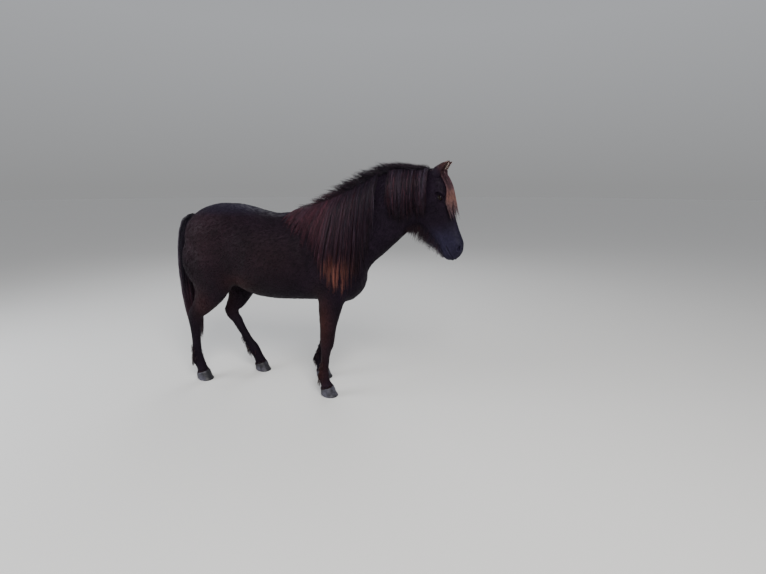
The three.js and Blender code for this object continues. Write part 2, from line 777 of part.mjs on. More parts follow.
// Hair that hangs from one place on the flesh: sunk in, out a little, then down to its tip
function hangingLock(from, out, hang, facing, width, thick) {
  const path = [
    from.clone().addScaledVector(out, -12),
    from.clone().addScaledVector(out, 6),
    from.clone().addScaledVector(out, 13).addScaledVector(hang, 0.3),
    from.clone().addScaledVector(out, 12).addScaledVector(hang, 0.6),
    from.clone().addScaledVector(out, 8).add(hang),
  ];
  return lock(path, () => facing.clone(), width, thick);
}
function beardLocks(count, grow = 0) {
  const random = randomFrom(3);
  const jaw = smoothThrough(HEAD.map((row) => row[0]), HEAD.map((row) => row[2]));
  return Array.from({ length: count }, (_, i) => {
    const down = lerp(205, 460, (i + 0.5 * random()) / count);
    const aside = (i % 2 ? 1 : -1) * lerp(3, 22, random());
    const from = headPlace(down, jaw(down) + 6, aside);
    const out = new THREE.Vector3(-outOfFace.x, Math.sign(aside) * 0.4, -outOfFace.y).normalize();
    const long = lerp(98, 46, (down - 205) / 255) * lerp(0.85, 1.1, random());
    const facing = new THREE.Vector3(-0.2, Math.sign(aside), 0);
    return hangingLock(from, out, new THREE.Vector3(-4, aside * 0.2, -long), facing, 15 + grow, 6 + grow);
  });
}

// Tail: the path of its middle, and its half width and half depth there
const TAIL = [
  [-1085, 1268, 26, 24],
  [-1140, 1272, 32, 30],
  [-1190, 1245, 44, 38],
  [-1222, 1150, 62, 46],
  [-1233, 960, 84, 54],
  [-1231, 740, 92, 56],
  [-1222, 520, 80, 50],
  [-1208, 350, 54, 36],
  [-1196, 245, 16, 12],
];
const tailKnots = TAIL.map((_, i) => i / (TAIL.length - 1));
const tailCurve = [0, 1, 2, 3].map((n) => smoothThrough(tailKnots, TAIL.map((row) => row[n])));
function tailPlace(at, turn, fill) {
  const [x, z, wide, deep] = tailCurve.map((curve) => curve(at));
  const [x2, z2] = [tailCurve[0](at + 0.01), tailCurve[1](at + 0.01)];
  const along = point(x2 - x, z2 - z).normalize();
  const out = point(along.y, -along.x);
  const h = deep * fill * Math.sin(turn);
  return new THREE.Vector3(x + out.x * h, wide * fill * Math.cos(turn), z + out.y * h);
}
function tailCore(reach) {
  const rings = [];
  for (let i = 0; i <= 10; i++) {
    const at = Math.min((i / 10) * reach, 0.985);
    const fill = reach < 1 ? 0.72 * Math.sqrt(1 - (i / 10) ** 6) + 0.03 : 1;
    rings.push(Array.from({ length: 12 }, (_, k) => tailPlace(at, (2 * Math.PI * k) / 12, fill)));
  }
  return skinned(rings);
}

function tailLocks(count) {
  const random = randomFrom(19);
  return Array.from({ length: count }, (_, i) => {
    const outer = i % 2;
    const turn = (2 * Math.PI * (i + 0.4 * random())) / count;
    const from = outer ? lerp(0.15, 0.34, random()) : lerp(0.32, 0.46, random());
    const to = lerp(0.82, 1, random());
    const drift = lerp(-0.3, 0.3, random());
    const place = (t, fill) => tailPlace(lerp(from, to, t), turn + drift * t, fill);
    const fills = outer ? [0.5, 1.02, 1.06, 1.04, lerp(0.9, 1.2, random())] : [0.5, 0.86, 0.86, 0.84, 0.7];
    const path = [0, 0.2, 0.48, 0.76, 1].map((t, k) => place(t, fills[k]));
    const facing = (p, t) => place(t, 1).sub(place(t, 0.5));
    return lock(path, facing, lerp(29, 36, random()), 6);
  });
}

// Feather: hair that hangs behind a fetlock, as one wedge
function featherCore(name) {
  const leg = LEGS[name];
  const fore = name.startsWith("fore");
  const [fetlock, above] = fore ? [2, 1] : [3, 2];
  const joint = leg.joints[fetlock];
  const upper = leg.joints[above];
  const up = new THREE.Vector2().subVectors(upper, joint).normalize();
  const back = point(-up.y, up.x);
  const side = fore ? leg.sides[fetlock] : 136 * leg.outward;
  const at = (rise, behind, half) => [rise, behind, half];
  const rows = [at(110, 36, 10), at(60, 48, 20), at(20, 56, 26), at(-12, 57, 22), at(-34, 48, 6)];
  return skinned(
    rows.map(([rise, behind, half]) => {
      const middle = joint.clone().addScaledVector(up, rise);
      const inner = middle.clone().addScaledVector(back, 18);
      const outer = middle.clone().addScaledVector(back, behind);
      return ring({ upper: inner, lower: outer, side, half, widest: 0.4, above: 2, below: 1.6 }, 8, 0);
    }),
  );
}

function featherLocks(name) {
  const random = randomFrom(31 + name.length);
  const leg = LEGS[name];
  const fetlock = name.startsWith("fore") ? 2 : 3;
  const joint = leg.joints[fetlock];
  const upper = leg.joints[fetlock - 1];
  const side = leg.outward ? 136 * leg.outward : leg.sides[fetlock];
  return Array.from({ length: 5 }, (_, i) => {
    const rise = lerp(64, -14, i / 4);
    const middle = joint.clone().addScaledVector(new THREE.Vector2().subVectors(upper, joint).normalize(), rise);
    const aside = [0, 15, -15, 19, -19][i];
    const behind = 40 - Math.abs(aside) * 0.45 - (i < 2 ? 6 : 0);
    const out = new THREE.Vector3(-1, aside / 30, 0).normalize();
    const from = new THREE.Vector3(middle.x - behind, side + aside, middle.y);
    const hang = new THREE.Vector3(lerp(-8, 2, random()), aside * 0.1, -lerp(34, 54, random()));
    const facing = new THREE.Vector3(-0.5, aside < 0 ? -1 : 1, 0);
    return hangingLock(from, out, hang, facing, lerp(12, 15, random()), 5);
  });
}

const group = new THREE.Group();
export default group;

function add(name, solid, material) {
  const mesh = new THREE.Mesh(geometryOf(largest(solid)), material);
  mesh.name = name;
  mesh.position.copy(ORIGIN).negate();
  group.add(mesh);
}

const coat = new THREE.MeshStandardMaterial({ color: 0x2a2024, roughness: 0.75, metalness: 0 });
const horn = new THREE.MeshStandardMaterial({ color: 0x8a8280, roughness: 0.6, metalness: 0 });
const cornea = new THREE.MeshStandardMaterial({ color: 0x0c0806, roughness: 0.1, metalness: 0 });

// Head, with its openings cut and its lids on
const lipGroove = cut(mouthBlade(), headFlesh(-9));
const forelock = cut(join([forelockCore(0.5), ...forelockLocks(9)]), ear(1, 2), ear(-1, 2));
const beard = cut(join([beardCore(34), ...beardLocks(12)]), neckFlesh(GAP));
const headWithHair = join([headFlesh(0), ...lids(1), ...lids(-1), forelock, beard]);
const head = cut(
  headWithHair,
  eyeball(1, GAP),
  eyeball(-1, GAP),
  lipGroove,
  nostril(1),
  nostril(-1),
);
add("head", head, coat);
add("eye_left", eyeball(1, 0), cornea);
add("eye_right", eyeball(-1, 0), cornea);

const grownHead = headFlesh(GAP);
const grownTorso = torsoFlesh(GAP);
add("torso", torsoFlesh(0), coat);
const mane = join([maneCore(0.5, maneRoots), ...maneLocks(30), ...crestLocks(13)]);
const clearOf = [grownTorso, grownHead, beardCore(34, 1), ...beardLocks(12, 1.5), ear(1, 2), ear(-1, 2)];
add("neck", cut(join([neckFlesh(0), mane]), ...clearOf), coat);
for (const [name, side] of [["left", 1], ["right", -1]]) {
  add("ear_" + name, cut(ear(side), grownHead), coat);
}
add("tail", cut(join([tailCore(0.5), ...tailLocks(14)]), grownTorso), coat);
for (const [name, leg] of Object.entries(LEGS)) {
  add("leg_" + name, cut(join([legSolids[name], ...featherLocks(name)]), grownTorso), coat);
  add("hoof_" + name, skinned(hoofRings(leg)), horn);
}
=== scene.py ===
# The looks of a life-size Icelandic horse: one skin, its short coat, mane, forelock, beard, tail
# and feather as solid locks, eyes with lids, and hooves with growth rings.
# Shapes are worked out in millimetres with x = 0 at the near fore hoof, and shown in metres.
import math

import bmesh
import bpy
import numpy as np
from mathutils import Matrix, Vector
from mathutils.bvhtree import BVHTree


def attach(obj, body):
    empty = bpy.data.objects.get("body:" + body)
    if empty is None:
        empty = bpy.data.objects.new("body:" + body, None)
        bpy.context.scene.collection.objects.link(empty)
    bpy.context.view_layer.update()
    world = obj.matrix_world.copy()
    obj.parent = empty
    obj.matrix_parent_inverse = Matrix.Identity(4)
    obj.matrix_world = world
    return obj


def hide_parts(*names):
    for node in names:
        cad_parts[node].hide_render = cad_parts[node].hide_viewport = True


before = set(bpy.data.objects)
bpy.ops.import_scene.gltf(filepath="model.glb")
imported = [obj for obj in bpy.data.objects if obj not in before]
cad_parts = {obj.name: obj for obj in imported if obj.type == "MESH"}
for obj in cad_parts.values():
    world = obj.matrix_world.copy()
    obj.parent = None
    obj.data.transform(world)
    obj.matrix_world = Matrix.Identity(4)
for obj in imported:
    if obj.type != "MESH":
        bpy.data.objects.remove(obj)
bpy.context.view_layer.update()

# Driving sizes, the same as the solids have
ORIGIN = np.array([-194.0, 0.0, 0.0])
HOOF_LENGTH = 114.0
HOOF_WIDTH = 104.0
HOOF_TOE_HEIGHT = 66.0
HOOF_HEEL_HEIGHT = 42.0
POLL = np.array([700.0, 1600.0])
FACE_SLOPE = math.radians(70.5)
NECK_SWAY = 150.0
NECK_SWAY_FROM = 60.0
EYE_RADIUS = 20.0
EYE_DOWN = 182.0
EYE_OUT = 2.0
EYE_SIDE = 72.0
COAT_DEPTH = 4.0
# Sizes of the skin and its hair alone
VOXEL = 10.0
HEAD_LEVEL = 1000.0
FULLNESS = 1.0
FLOOR_GAP = 6.0

DOWN_FACE = np.array([math.cos(FACE_SLOPE), -math.sin(FACE_SLOPE)])
OUT_OF_FACE = np.array([math.sin(FACE_SLOPE), math.cos(FACE_SLOPE)])


def sway(x):
    ahead = np.maximum(0, np.asarray(x, float) - NECK_SWAY_FROM) / 1000
    return -NECK_SWAY * ahead * ahead


def lerp(a, b, t):
    return a + (b - a) * t


def smoothstep(low, high, x):
    t = np.clip((x - low) / (high - low), 0, 1)
    return t * t * (3 - 2 * t)


def bell(x, middle, reach):
    return np.exp(-(((x - middle) / reach) ** 2))


def near(p, x, z, rx, rz):
    return bell(p[..., 0], x, rx) * bell(p[..., 2], z, rz)


def unit(v):
    return v / np.maximum(np.linalg.norm(v, axis=-1, keepdims=True), 1e-9)


def turned(a, b, degrees):
    c, s = math.cos(math.radians(degrees)), math.sin(math.radians(degrees))
    return c * a - s * b, s * a + c * b


# Smooth curve through samples that never swings past them
def smooth_through(knots, values, at):
    knots, values, at = (np.asarray(series, float) for series in (knots, values, at))
    steps = np.diff(knots)
    slopes = np.diff(values) / steps
    tangents = np.zeros(len(knots))
    tangents[[0, -1]] = slopes[[0, -1]]
    for i in range(1, len(knots) - 1):
        a, b = slopes[i - 1], slopes[i]
        if a * b > 0:
            u = 2 * steps[i] + steps[i - 1]
            v = steps[i] + 2 * steps[i - 1]
            tangents[i] = (u + v) / (u / a + v / b)
    i = np.clip(np.searchsorted(knots, at) - 1, 0, len(steps) - 1)
    h = steps[i]
    t = np.clip((at - knots[i]) / h, 0, 1)
    t2, t3 = t * t, t * t * t
    ends = (2 * t3 - 3 * t2 + 1) * values[i] + (3 * t2 - 2 * t3) * values[i + 1]
    return ends + (t3 - 2 * t2 + t) * h * tangents[i] + (t3 - t2) * h * tangents[i + 1]


# The columns of a table of samples, at places between the knots of its first column
def row_at(table, at):
    knots, *columns = np.array(table, float).T
    return [smooth_through(knots, column, at) for column in columns]


# x, top, bottom, half width, widest level, roundness above and below
TORSO = [
    [236, 925, 845, 40, 0.5, 2, 2],
    [222, 988, 798, 96, 0.5, 2, 2.1],
    [180, 1060, 737, 142, 0.5, 2, 2.2],
    [110, 1165, 690, 172, 0.48, 1.9, 2.3],
    [20, 1285, 684, 190, 0.46, 1.8, 2.4],
    [-90, 1346, 690, 206, 0.45, 1.7, 2.3],
    [-200, 1349, 688, 230, 0.46, 1.75, 2.3],
    [-320, 1322, 683, 252, 0.48, 2, 2.3],
    [-430, 1314, 680, 265, 0.49, 2.1, 2.25],
    [-540, 1332, 686, 269, 0.5, 2.15, 2.2],
    [-650, 1360, 708, 262, 0.52, 2.15, 2.2],
    [-760, 1378, 752, 250, 0.56, 2.2, 2.1],
    [-870, 1380, 812, 244, 0.58, 2.25, 2.1],
    [-970, 1360, 868, 230, 0.58, 2.2, 2.1],
    [-1060, 1320, 905, 196, 0.56, 2.1, 2],
    [-1130, 1262, 945, 142, 0.56, 2, 2],
    [-1168, 1195, 1010, 70, 0.5, 2, 2],
]
# Swells of the flank: x, z, radius along x, radius along z, height
TORSO_SWELLS = [
    [150, 985, 60, 70, 10],
    [-20, 860, 90, 85, 12],
    [20, 1110, 90, 150, 8],
    [-690, 985, 90, 110, -16],
    [-730, 1270, 70, 60, 12],
    [-1000, 1130, 110, 110, 10],
]
# x and z of the crest, x and z of the underside, half width, widest level, roundness above
NECK = [
    [-215, 1330, 120, 770, 140, 0.42, 1.5],
    [-90, 1384, 222, 868, 146, 0.42, 1.5],
    [50, 1440, 292, 965, 128, 0.44, 1.55],
    [190, 1508, 372, 1042, 108, 0.46, 1.6],
    [330, 1568, 450, 1115, 94, 0.48, 1.7],
    [470, 1600, 524, 1185, 86, 0.5, 1.8],
    [590, 1602, 580, 1238, 82, 0.54, 1.9],
    [672, 1582, 628, 1300, 74, 0.56, 2],
]
# Down the face, front, jaw, half width, widest level, roundness in front and behind
HEAD = [
    [-14, 0, -60, 26, 0.5, 2, 2],
    [0, 22, -95, 48, 0.55, 2.1, 2],
    [30, 44, -130, 68, 0.62, 2.2, 1.9],
    [80, 58, -168, 82, 0.66, 2.4, 1.8],
    [130, 65, -200, 92, 0.68, 2.5, 1.75],
    [180, 64, -220, 91, 0.68, 2.4, 1.75],
    [230, 58, -224, 76, 0.67, 2.2, 1.8],
    [290, 53, -206, 63, 0.64, 2.1, 1.85],
    [350, 50, -172, 54, 0.61, 2.05, 1.95],
    [410, 50, -136, 49, 0.58, 2, 2.1],
    [460, 53, -112, 50, 0.57, 2.1, 2.2],
    [500, 52, -101, 54, 0.56, 2.3, 2.2],
    [532, 40, -96, 55, 0.54, 2.4, 2.2],
    [558, 20, -86, 49, 0.52, 2.4, 2.2],
    [574, -4, -68, 36, 0.5, 2.2, 2.1],
    [580, -22, -50, 20, 0.5, 2, 2],
]
# Swells of the head: down the face, out of it, radius down it, radius out of it, height
HEAD_SWELLS = [
    [155, 22, 26, 22, 9],
    [105, 10, 30, 26, -6],
    [215, -95, 70, 60, 6],
    [262, -18, 60, 13, 5],
    [330, 20, 60, 22, -4],
    [505, 26, 26, 20, 5],
]
# Joints of each leg from the top as x and z. Then the distance of each from the middle plane for a
# fore leg, and the side it stands on for a hind leg
FORE_LEGS = {
    "fore_right": ([(40, 900), (-16, 402), (-48, 134), (-24, 64)], [-100, -142, -145, -146]),
    "fore_left": ([(15, 900), (-122, 412), (-210, 150), (-182, 64)], [100, 138, 142, 144]),
}
HIND_LEGS = {
    "hind_right": ([(-940, 1110), (-800, 850), (-1112, 500), (-1122, 162), (-1086, 66)], -1),
    "hind_left": ([(-930, 1110), (-748, 866), (-962, 488), (-782, 172), (-730, 66)], 1),
}
# Which bone, how far down it, reach in front and behind, half width
FORE_ROWS = [
    [0, -0.06, 82, 84, 36],
    [0, 0.08, 104, 100, 56],
    [0, 0.25, 106, 112, 66],
    [0, 0.42, 88, 101, 61],
    [0, 0.6, 67, 84, 53],
    [0, 0.8, 53, 66, 45],
    [0, 0.95, 52, 57, 44],
    [1, 0.06, 48, 51, 42],
    [1, 0.22, 34, 42, 35],
    [1, 0.5, 28, 36, 29],
    [1, 0.78, 30, 40, 30],
    [1, 0.97, 40, 46, 38],
    [2, 0.45, 36, 40, 36],
]
# x and z in front, x and z behind, distance from the middle plane, half width, bone
HIND_ROWS = [
    [-815, 1215, -1040, 1185, 100, 50, 0],
    [-758, 1110, -1128, 1100, 116, 86, 0],
    [-728, 1000, -1162, 1012, 134, 106, 0],
    [-718, 905, -1156, 928, 146, 108, 0.1],
    [-732, 822, -1124, 853, 151, 97, 0.4],
    [-774, 745, -1084, 794, 151, 80, 0.8],
    [-838, 672, -1070, 735, 148, 65, 1],
    [-914, 606, -1090, 668, 144, 54, 1],
    [-990, 550, -1126, 606, 140, 45, 1],
    [-1044, 512, -1158, 556, 138, 43, 1.3],
    [-1064, 470, -1168, 498, 137, 43, 1.7],
    [-1077, 424, -1160, 432, 137, 40, 2],
    [-1085, 372, -1157, 376, 136, 35, 2],
    [-1090, 300, -1158, 302, 136, 31, 2],
    [-1090, 226, -1164, 226, 136, 32, 2],
    [-1078, 168, -1170, 156, 136, 39, 2.2],
    [-1060, 112, -1138, 94, 136, 37, 3],
]


# Rings across rows of: upper x, upper z, lower x, lower z, side, half, widest, above, below
def ring_points(stations, count, inset=0.0):
    s = np.asarray(stations, float)
    lower = s[:, 2:4]
    side, half, widest, above, below = s[:, 4:, None].transpose(1, 0, 2)
    span = s[:, 0:2] - lower
    length = np.linalg.norm(span, axis=1, keepdims=True)
    up = span / length
    middle = lower + span * widest
    turn = 2 * np.pi * np.arange(count) / count
    across, along = np.cos(turn), np.sin(turn)
    power = 2 / np.where(along > 0, above, below)
    share = np.where(along > 0, 1 - widest, widest)
    h = np.sign(along) * np.abs(along) ** power * np.maximum(length * share - inset, 2)
    w = np.sign(across) * np.abs(across) ** power * np.maximum(half - inset, 2)
    return np.stack([middle[:, :1] + up[:, :1] * h, side + w, middle[:, 1:] + up[:, 1:] * h], axis=2)


def through_stations(stations, steps):
    s = np.asarray(stations, float)
    middles = (s[:, 0:2] + s[:, 2:4]) / 2
    knots = np.concatenate([[0], np.cumsum(np.linalg.norm(np.diff(middles, axis=0), axis=1))])
    at = np.linspace(0, knots[-1], steps + 1)
    return np.stack(row_at(np.column_stack([knots, s]), at), axis=1)


# Closed surface over rings, as points and triangles
def skin_over(rings):
    steps, count = rings.shape[:2]
    points = np.concatenate([rings.reshape(-1, 3), rings[:1].mean(1), rings[-1:].mean(1)])
    end = (steps - 1) * count
    first, last = (np.full(count, steps * count + n) for n in (0, 1))
    i = np.arange(count)
    j = (i + 1) % count
    faces = [np.stack([first, j, i], 1)]
    for row in range(0, end, count):
        faces.append(np.stack([row + i, row + j, row + count + i], 1))
        faces.append(np.stack([row + j, row + count + j, row + count + i], 1))
    faces = np.concatenate([*faces, np.stack([end + i, end + j, last], 1)])
    a, b, c = points[faces.T]
    volume = np.einsum("ij,ij->i", a, np.cross(b, c)).sum()
    return points, faces if volume > 0 else faces[:, ::-1]


# How far down the face, how far out of it and how far aside a place lies
def from_head(p):
    away = p[..., [0, 2]] - POLL
    return away @ DOWN_FACE, away @ OUT_OF_FACE, p[..., 1] - sway(p[..., 0])


def head_place(down, out, aside):
    seen = POLL + np.multiply.outer(down, DOWN_FACE) + np.multiply.outer(out, OUT_OF_FACE)
    return np.stack([seen[..., 0], sway(seen[..., 0]) + aside, seen[..., 1]], axis=-1)


def swell_sides(rings, places, a, b):
    push = sum(h * bell(a, ca, ra) * bell(b, cb, rb) for ca, cb, ra, rb, h in places)
    wide = np.abs(rings[..., 1])
    rings[..., 1] += np.sign(rings[..., 1]) * push * wide / (wide + 25)
    return rings


def swayed(rings):
    rings[..., 1] += sway(rings[..., 0])
    return rings


def torso_rings():
    rows = [[x, top, x, low, 0, *rest] for x, top, low, *rest in TORSO]
    rings = ring_points(through_stations(rows, 80), 96, COAT_DEPTH)
    return swell_sides(rings, TORSO_SWELLS, rings[..., 0], rings[..., 2])


def neck_rings():
    rows = [[*ends, 0, half, w, above, 2] for *ends, half, w, above in NECK]
    return swayed(ring_points(through_stations(rows, 60), 72, COAT_DEPTH))


def head_rings():
    rows = []
    for down, front, jaw, *rest in HEAD:
        middle = POLL + DOWN_FACE * down
        rows.append([*(middle + OUT_OF_FACE * front), *(middle + OUT_OF_FACE * jaw), 0, *rest])
    rings = ring_points(through_stations(rows, 90), 72)
    return swayed(swell_sides(rings, HEAD_SWELLS, *from_head(rings)[:2]))


CORONET_LEAN = math.atan2(HOOF_TOE_HEIGHT - HOOF_HEEL_HEIGHT, HOOF_LENGTH * 0.8)
ALONG_CORONET = np.array([math.cos(CORONET_LEAN), math.sin(CORONET_LEAN)])
CORONET_FRONT = 45.0
CORONET_BACK = 46.0
CORONET_HALF = 45.0
HIND_FETLOCK_SIDE = 136.0
HIND_HOOF_SIDE = 137.0


def coronet_row(joint, side):
    joint = np.asarray(joint, float)
    front, back = joint + ALONG_CORONET * CORONET_FRONT, joint - ALONG_CORONET * CORONET_BACK
    return [*front, *back, side, CORONET_HALF, 0.5, 2, 2]


def fore_rows(joints, sides):
    joints = np.asarray(joints, float)
    bones = np.diff(joints, axis=0)
    rows = []
    for bone, down, front, back, half in FORE_ROWS:
        here = joints[bone] + bones[bone] * down
        along = unit(bones[bone])
        other = bone + 1 if down > 0.5 else bone - 1
        if 0 <= other < len(bones):
            share = 4 * min(abs(down - 0.5), 0.5) ** 2
            along = unit(along + unit(bones[other]) * share)
        forward = np.array([-along[1], along[0]])
        side = lerp(sides[bone], sides[bone + 1], down)
        rows.append([*(here + forward * front), *(here - forward * back), side, half, 0.5, 2, 2])
    return rows + [coronet_row(joints[-1], sides[-1])]


# Carries a place on the square leg along with one bone of a leg that stands differently
def carried(place, joints, bone):
    square = np.asarray(HIND_LEGS["hind_right"][0], float)
    joints = np.asarray(joints, float)
    square_step, step = square[bone + 1] - square[bone], joints[bone + 1] - joints[bone]
    turn = math.atan2(step[1], step[0]) - math.atan2(square_step[1], square_step[0])
    return np.array(turned(*(np.asarray(place, float) - square[bone]), math.degrees(turn))) + joints[bone]


def hind_rows(joints, outward):
    rows = []
    for fx, fz, bx, bz, side, half, bone in HIND_ROWS:
        low, high = math.floor(bone), math.ceil(bone)
        row = []
        for place in ((fx, fz), (bx, bz)):
            row += [*lerp(carried(place, joints, low), carried(place, joints, high), bone - low)]
        rows.append(row + [side * outward, half, 0.5, 2, 2])
    return rows + [coronet_row(joints[-1], HIND_HOOF_SIDE * outward)]


LEG_ROWS = {name: fore_rows(*leg) for name, leg in FORE_LEGS.items()}
LEG_ROWS.update({name: hind_rows(*leg) for name, leg in HIND_LEGS.items()})


def points_in_row(points):
    return ((points - ORIGIN) / 1000).astype(np.float32).ravel()


# Makes an object from points in millimetres and faces given as corner lists of mixed length
def object_from(name, points, corners, totals, tint=None, uvs=None):
    mesh = bpy.data.meshes.new(name)
    mesh.vertices.add(len(points))
    mesh.vertices.foreach_set("co", points_in_row(points))
    mesh.loops.add(len(corners))
    mesh.loops.foreach_set("vertex_index", corners.astype(np.int32))
    mesh.polygons.add(len(totals))
    mesh.polygons.foreach_set("loop_start", (np.cumsum(totals) - totals).astype(np.int32))
    mesh.update(calc_edges=True)
    mesh.validate()
    mesh.polygons.foreach_set("use_smooth", np.ones(len(mesh.polygons), bool))
    if tint is not None:
        layer = mesh.color_attributes.new("tint", "FLOAT_COLOR", "POINT")
        rgba = np.concatenate([tint, np.ones((len(tint), 1))], axis=1)
        layer.data.foreach_set("color", rgba.astype(np.float32).ravel())
    if uvs is not None:
        layer = mesh.uv_layers.new(name="OFBake")
        layer.data.foreach_set("uv", uvs.astype(np.float32).ravel())
    made = bpy.data.objects.new(name, mesh)
    bpy.context.scene.collection.objects.link(made)
    return made


def triangles_object(name, points, faces, tint=None, uvs=None):
    return object_from(name, points, faces.ravel(), np.full(len(faces), 3), tint, uvs)


def values_of(items, name, each, kind):
    values = np.zeros(len(items) * each, kind)
    items.foreach_get(name, values)
    return values


def mesh_arrays(mesh):
    points = values_of(mesh.vertices, "co", 3, np.float32).reshape(-1, 3).astype(float) * 1000 + ORIGIN
    corners = values_of(mesh.loops, "vertex_index", 1, np.int32)
    return points, corners, values_of(mesh.polygons, "loop_total", 1, np.int32)


def edges_of(mesh):
    return values_of(mesh.edges, "vertices", 2, np.int32).reshape(-1, 2)


# Moves each point towards the mean of its neighbours, by a share that may differ from point to point
def relax(points, edges, share, rounds):
    a, b = edges.T
    n = len(points)
    degree = np.maximum(np.bincount(a, minlength=n) + np.bincount(b, minlength=n), 1)
    share = np.broadcast_to(np.asarray(share, float), (n,))[:, None]
    for _ in range(rounds):
        total = [
            np.bincount(a, points[b, k], minlength=n) + np.bincount(b, points[a, k], minlength=n)
            for k in range(3)
        ]
        points = points + (np.stack(total, axis=1) / degree[:, None] - points) * share
    return points


# The first three corners of each face, and its last one
def four_corners(corners, totals):
    starts = np.cumsum(totals) - totals
    return corners[np.stack([starts, starts + 1, starts + 2, starts + totals - 1])]


def normals_of(points, corners, totals):
    a, b, c, d = points[four_corners(corners, totals)]
    face = np.where((totals == 3)[:, None], np.cross(b - a, c - a), np.cross(c - a, d - b))
    per_corner = np.repeat(face, totals, axis=0)
    total = [np.bincount(corners, per_corner[:, k], minlength=len(points)) for k in range(3)]
    return unit(np.stack(total, axis=1))


# Places whose creases are softened: x, z, radius along x, radius along z, strength
BLENDS = [
    [20, 765, 150, 110, 1.0],
    [150, 1010, 150, 220, 1.0],
    [-60, 1330, 190, 110, 1.0],
    [250, 960, 110, 110, 0.9],
    [-760, 900, 190, 190, 1.0],
    [-930, 1150, 260, 170, 1.0],
    [-900, 830, 140, 120, 0.8],
    [600, 1250, 80, 90, 0.8],
    [650, 1560, 90, 80, 0.9],
    [-1120, 1240, 90, 90, 0.7],
    [-1130, 960, 90, 130, 0.8],
]
# Muscles and hollows: x, z, radius along x, radius along z, lean in degrees, height
MUSCLES = [
    [60, 1090, 34, 190, 22, 6],
    [-40, 960, 60, 130, -30, 6],
    [-150, 1010, 26, 170, -12, -7],
    [95, 900, 55, 60, 0, 5],
    [-20, 800, 60, 50, 0, 5],
    [-95, 1230, 60, 60, 0, 4],
    [150, 1220, 120, 36, 28, 4],
    [330, 1300, 170, 40, 40, 4],
    [300, 1130, 190, 18, 44, -4],
    [-640, 930, 40, 120, 20, -7],
    [-700, 1180, 70, 90, 0, -6],
    [-745, 860, 60, 70, 0, 7],
    [-1010, 1010, 26, 150, -8, -4],
    [-930, 1040, 90, 120, 0, 6],
    [-1080, 1040, 50, 120, 0, 5],
    [-30, 640, 30, 110, 0, 4],
    [30, 620, 14, 120, 0, -3],
]
RIBS = range(-230, -561, -55)
RIB_HEIGHT = 1.3
RIB_LEAN = 0.28


def muscle_push(p, normal):
    push = np.zeros(len(p))
    for x, z, rx, rz, lean, height in MUSCLES:
        u, v = turned(p[:, 0] - x, p[:, 2] - z, lean)
        push += height * bell(u, 0, rx) * bell(v, 0, rz)
    for x in RIBS:
        push += RIB_HEIGHT * bell(p[:, 0] - RIB_LEAN * (p[:, 2] - 1000), x, 15) * bell(p[:, 2], 960, 170)
    return push * np.abs(normal[:, 1]) ** 1.5


def body_shell():
    rings = [torso_rings(), neck_rings(), head_rings()]
    legs = [through_stations(rows, 110) for rows in LEG_ROWS.values()]
    rings += [ring_points(leg, 48, COAT_DEPTH * 0.4) for leg in legs]
    points, faces = zip(*[skin_over(r) for r in rings])
    firsts = np.cumsum([0] + [len(p) for p in points])
    faces = np.concatenate([f + first for f, first in zip(faces, firsts)])
    raw = triangles_object("raw", np.concatenate(points), faces)
    remesh = raw.modifiers.new("remesh", "REMESH")
    remesh.mode = "VOXEL"
    remesh.voxel_size = VOXEL / 1000
    graph = bpy.context.evaluated_depsgraph_get()
    mesh = bpy.data.meshes.new_from_object(raw.evaluated_get(graph))
    bpy.data.objects.remove(raw)
    points, corners, totals = mesh_arrays(mesh)
    edges = edges_of(mesh)
    blend = np.max([strength * near(points, *place) for *place, strength in BLENDS], axis=0)
    for _ in range(4):
        points = relax(points, edges, 0.5, 1)
        points = relax(points, edges, -0.52, 1)
    points = relax(points, edges, 0.5 * np.clip(blend * 1.2 - 0.15, 0, 1), 60)
    normal = normals_of(points, corners, totals)
    points = points + normal * muscle_push(points, normal)[:, None]
    mesh.vertices.foreach_set("co", points_in_row(points))
    return mesh


# Cuts the faces of chosen places finer and rounds what that leaves flat
def refine(mesh, chosen):
    work = bmesh.new()
    work.from_mesh(mesh)
    take = chosen(np.array([v.co[:] for v in work.verts]) * 1000 + ORIGIN)
    edges = [e for e in work.edges if take[e.verts[0].index] and take[e.verts[1].index]]
    bmesh.ops.subdivide_edges(work, edges=edges, cuts=1, use_grid_fill=True)
    work.to_mesh(mesh)
    work.free()
    points, _, _ = mesh_arrays(mesh)
    share = np.where(chosen(points), 0.45, 0.0)
    mesh.vertices.foreach_set("co", points_in_row(relax(points, edges_of(mesh), share, 2)))


def on_head(p):
    down, out, _ = from_head(p)
    return (down > 20) & (down < 640) & (out > -260) & (p[:, 2] > HEAD_LEVEL)


def near_eye(p, reach=1.0):
    down, out, aside = from_head(p)
    return (((down - EYE_DOWN) / 44) ** 2 + ((out - EYE_OUT) / 36) ** 2 < reach) & (abs(aside) > 50)


def on_muzzle(p):
    down, out, _ = from_head(p)
    return (down > 465) & (down < 640) & (out > -140)


# How far down and out of the face the mouth's line runs, from its corner to its front
MOUTH_LINE = np.array([[482, -56], [498, -55], [520, -49], [545, -42], [570, -36], [592, -30]], float)


def mouth_gap(down, out):
    over = out - np.interp(down, *MOUTH_LINE.T)
    return np.hypot(over, np.maximum(0, MOUTH_LINE[0, 0] - down)), over


# How far down and out of the face, long and short radius, lean and depth of each hollow
NOSTRILS = [(520, 18, 17, 9.5, 35, -15), (506, 26, 9, 6, 60, -7)]
LID_THICKNESS = 2.3


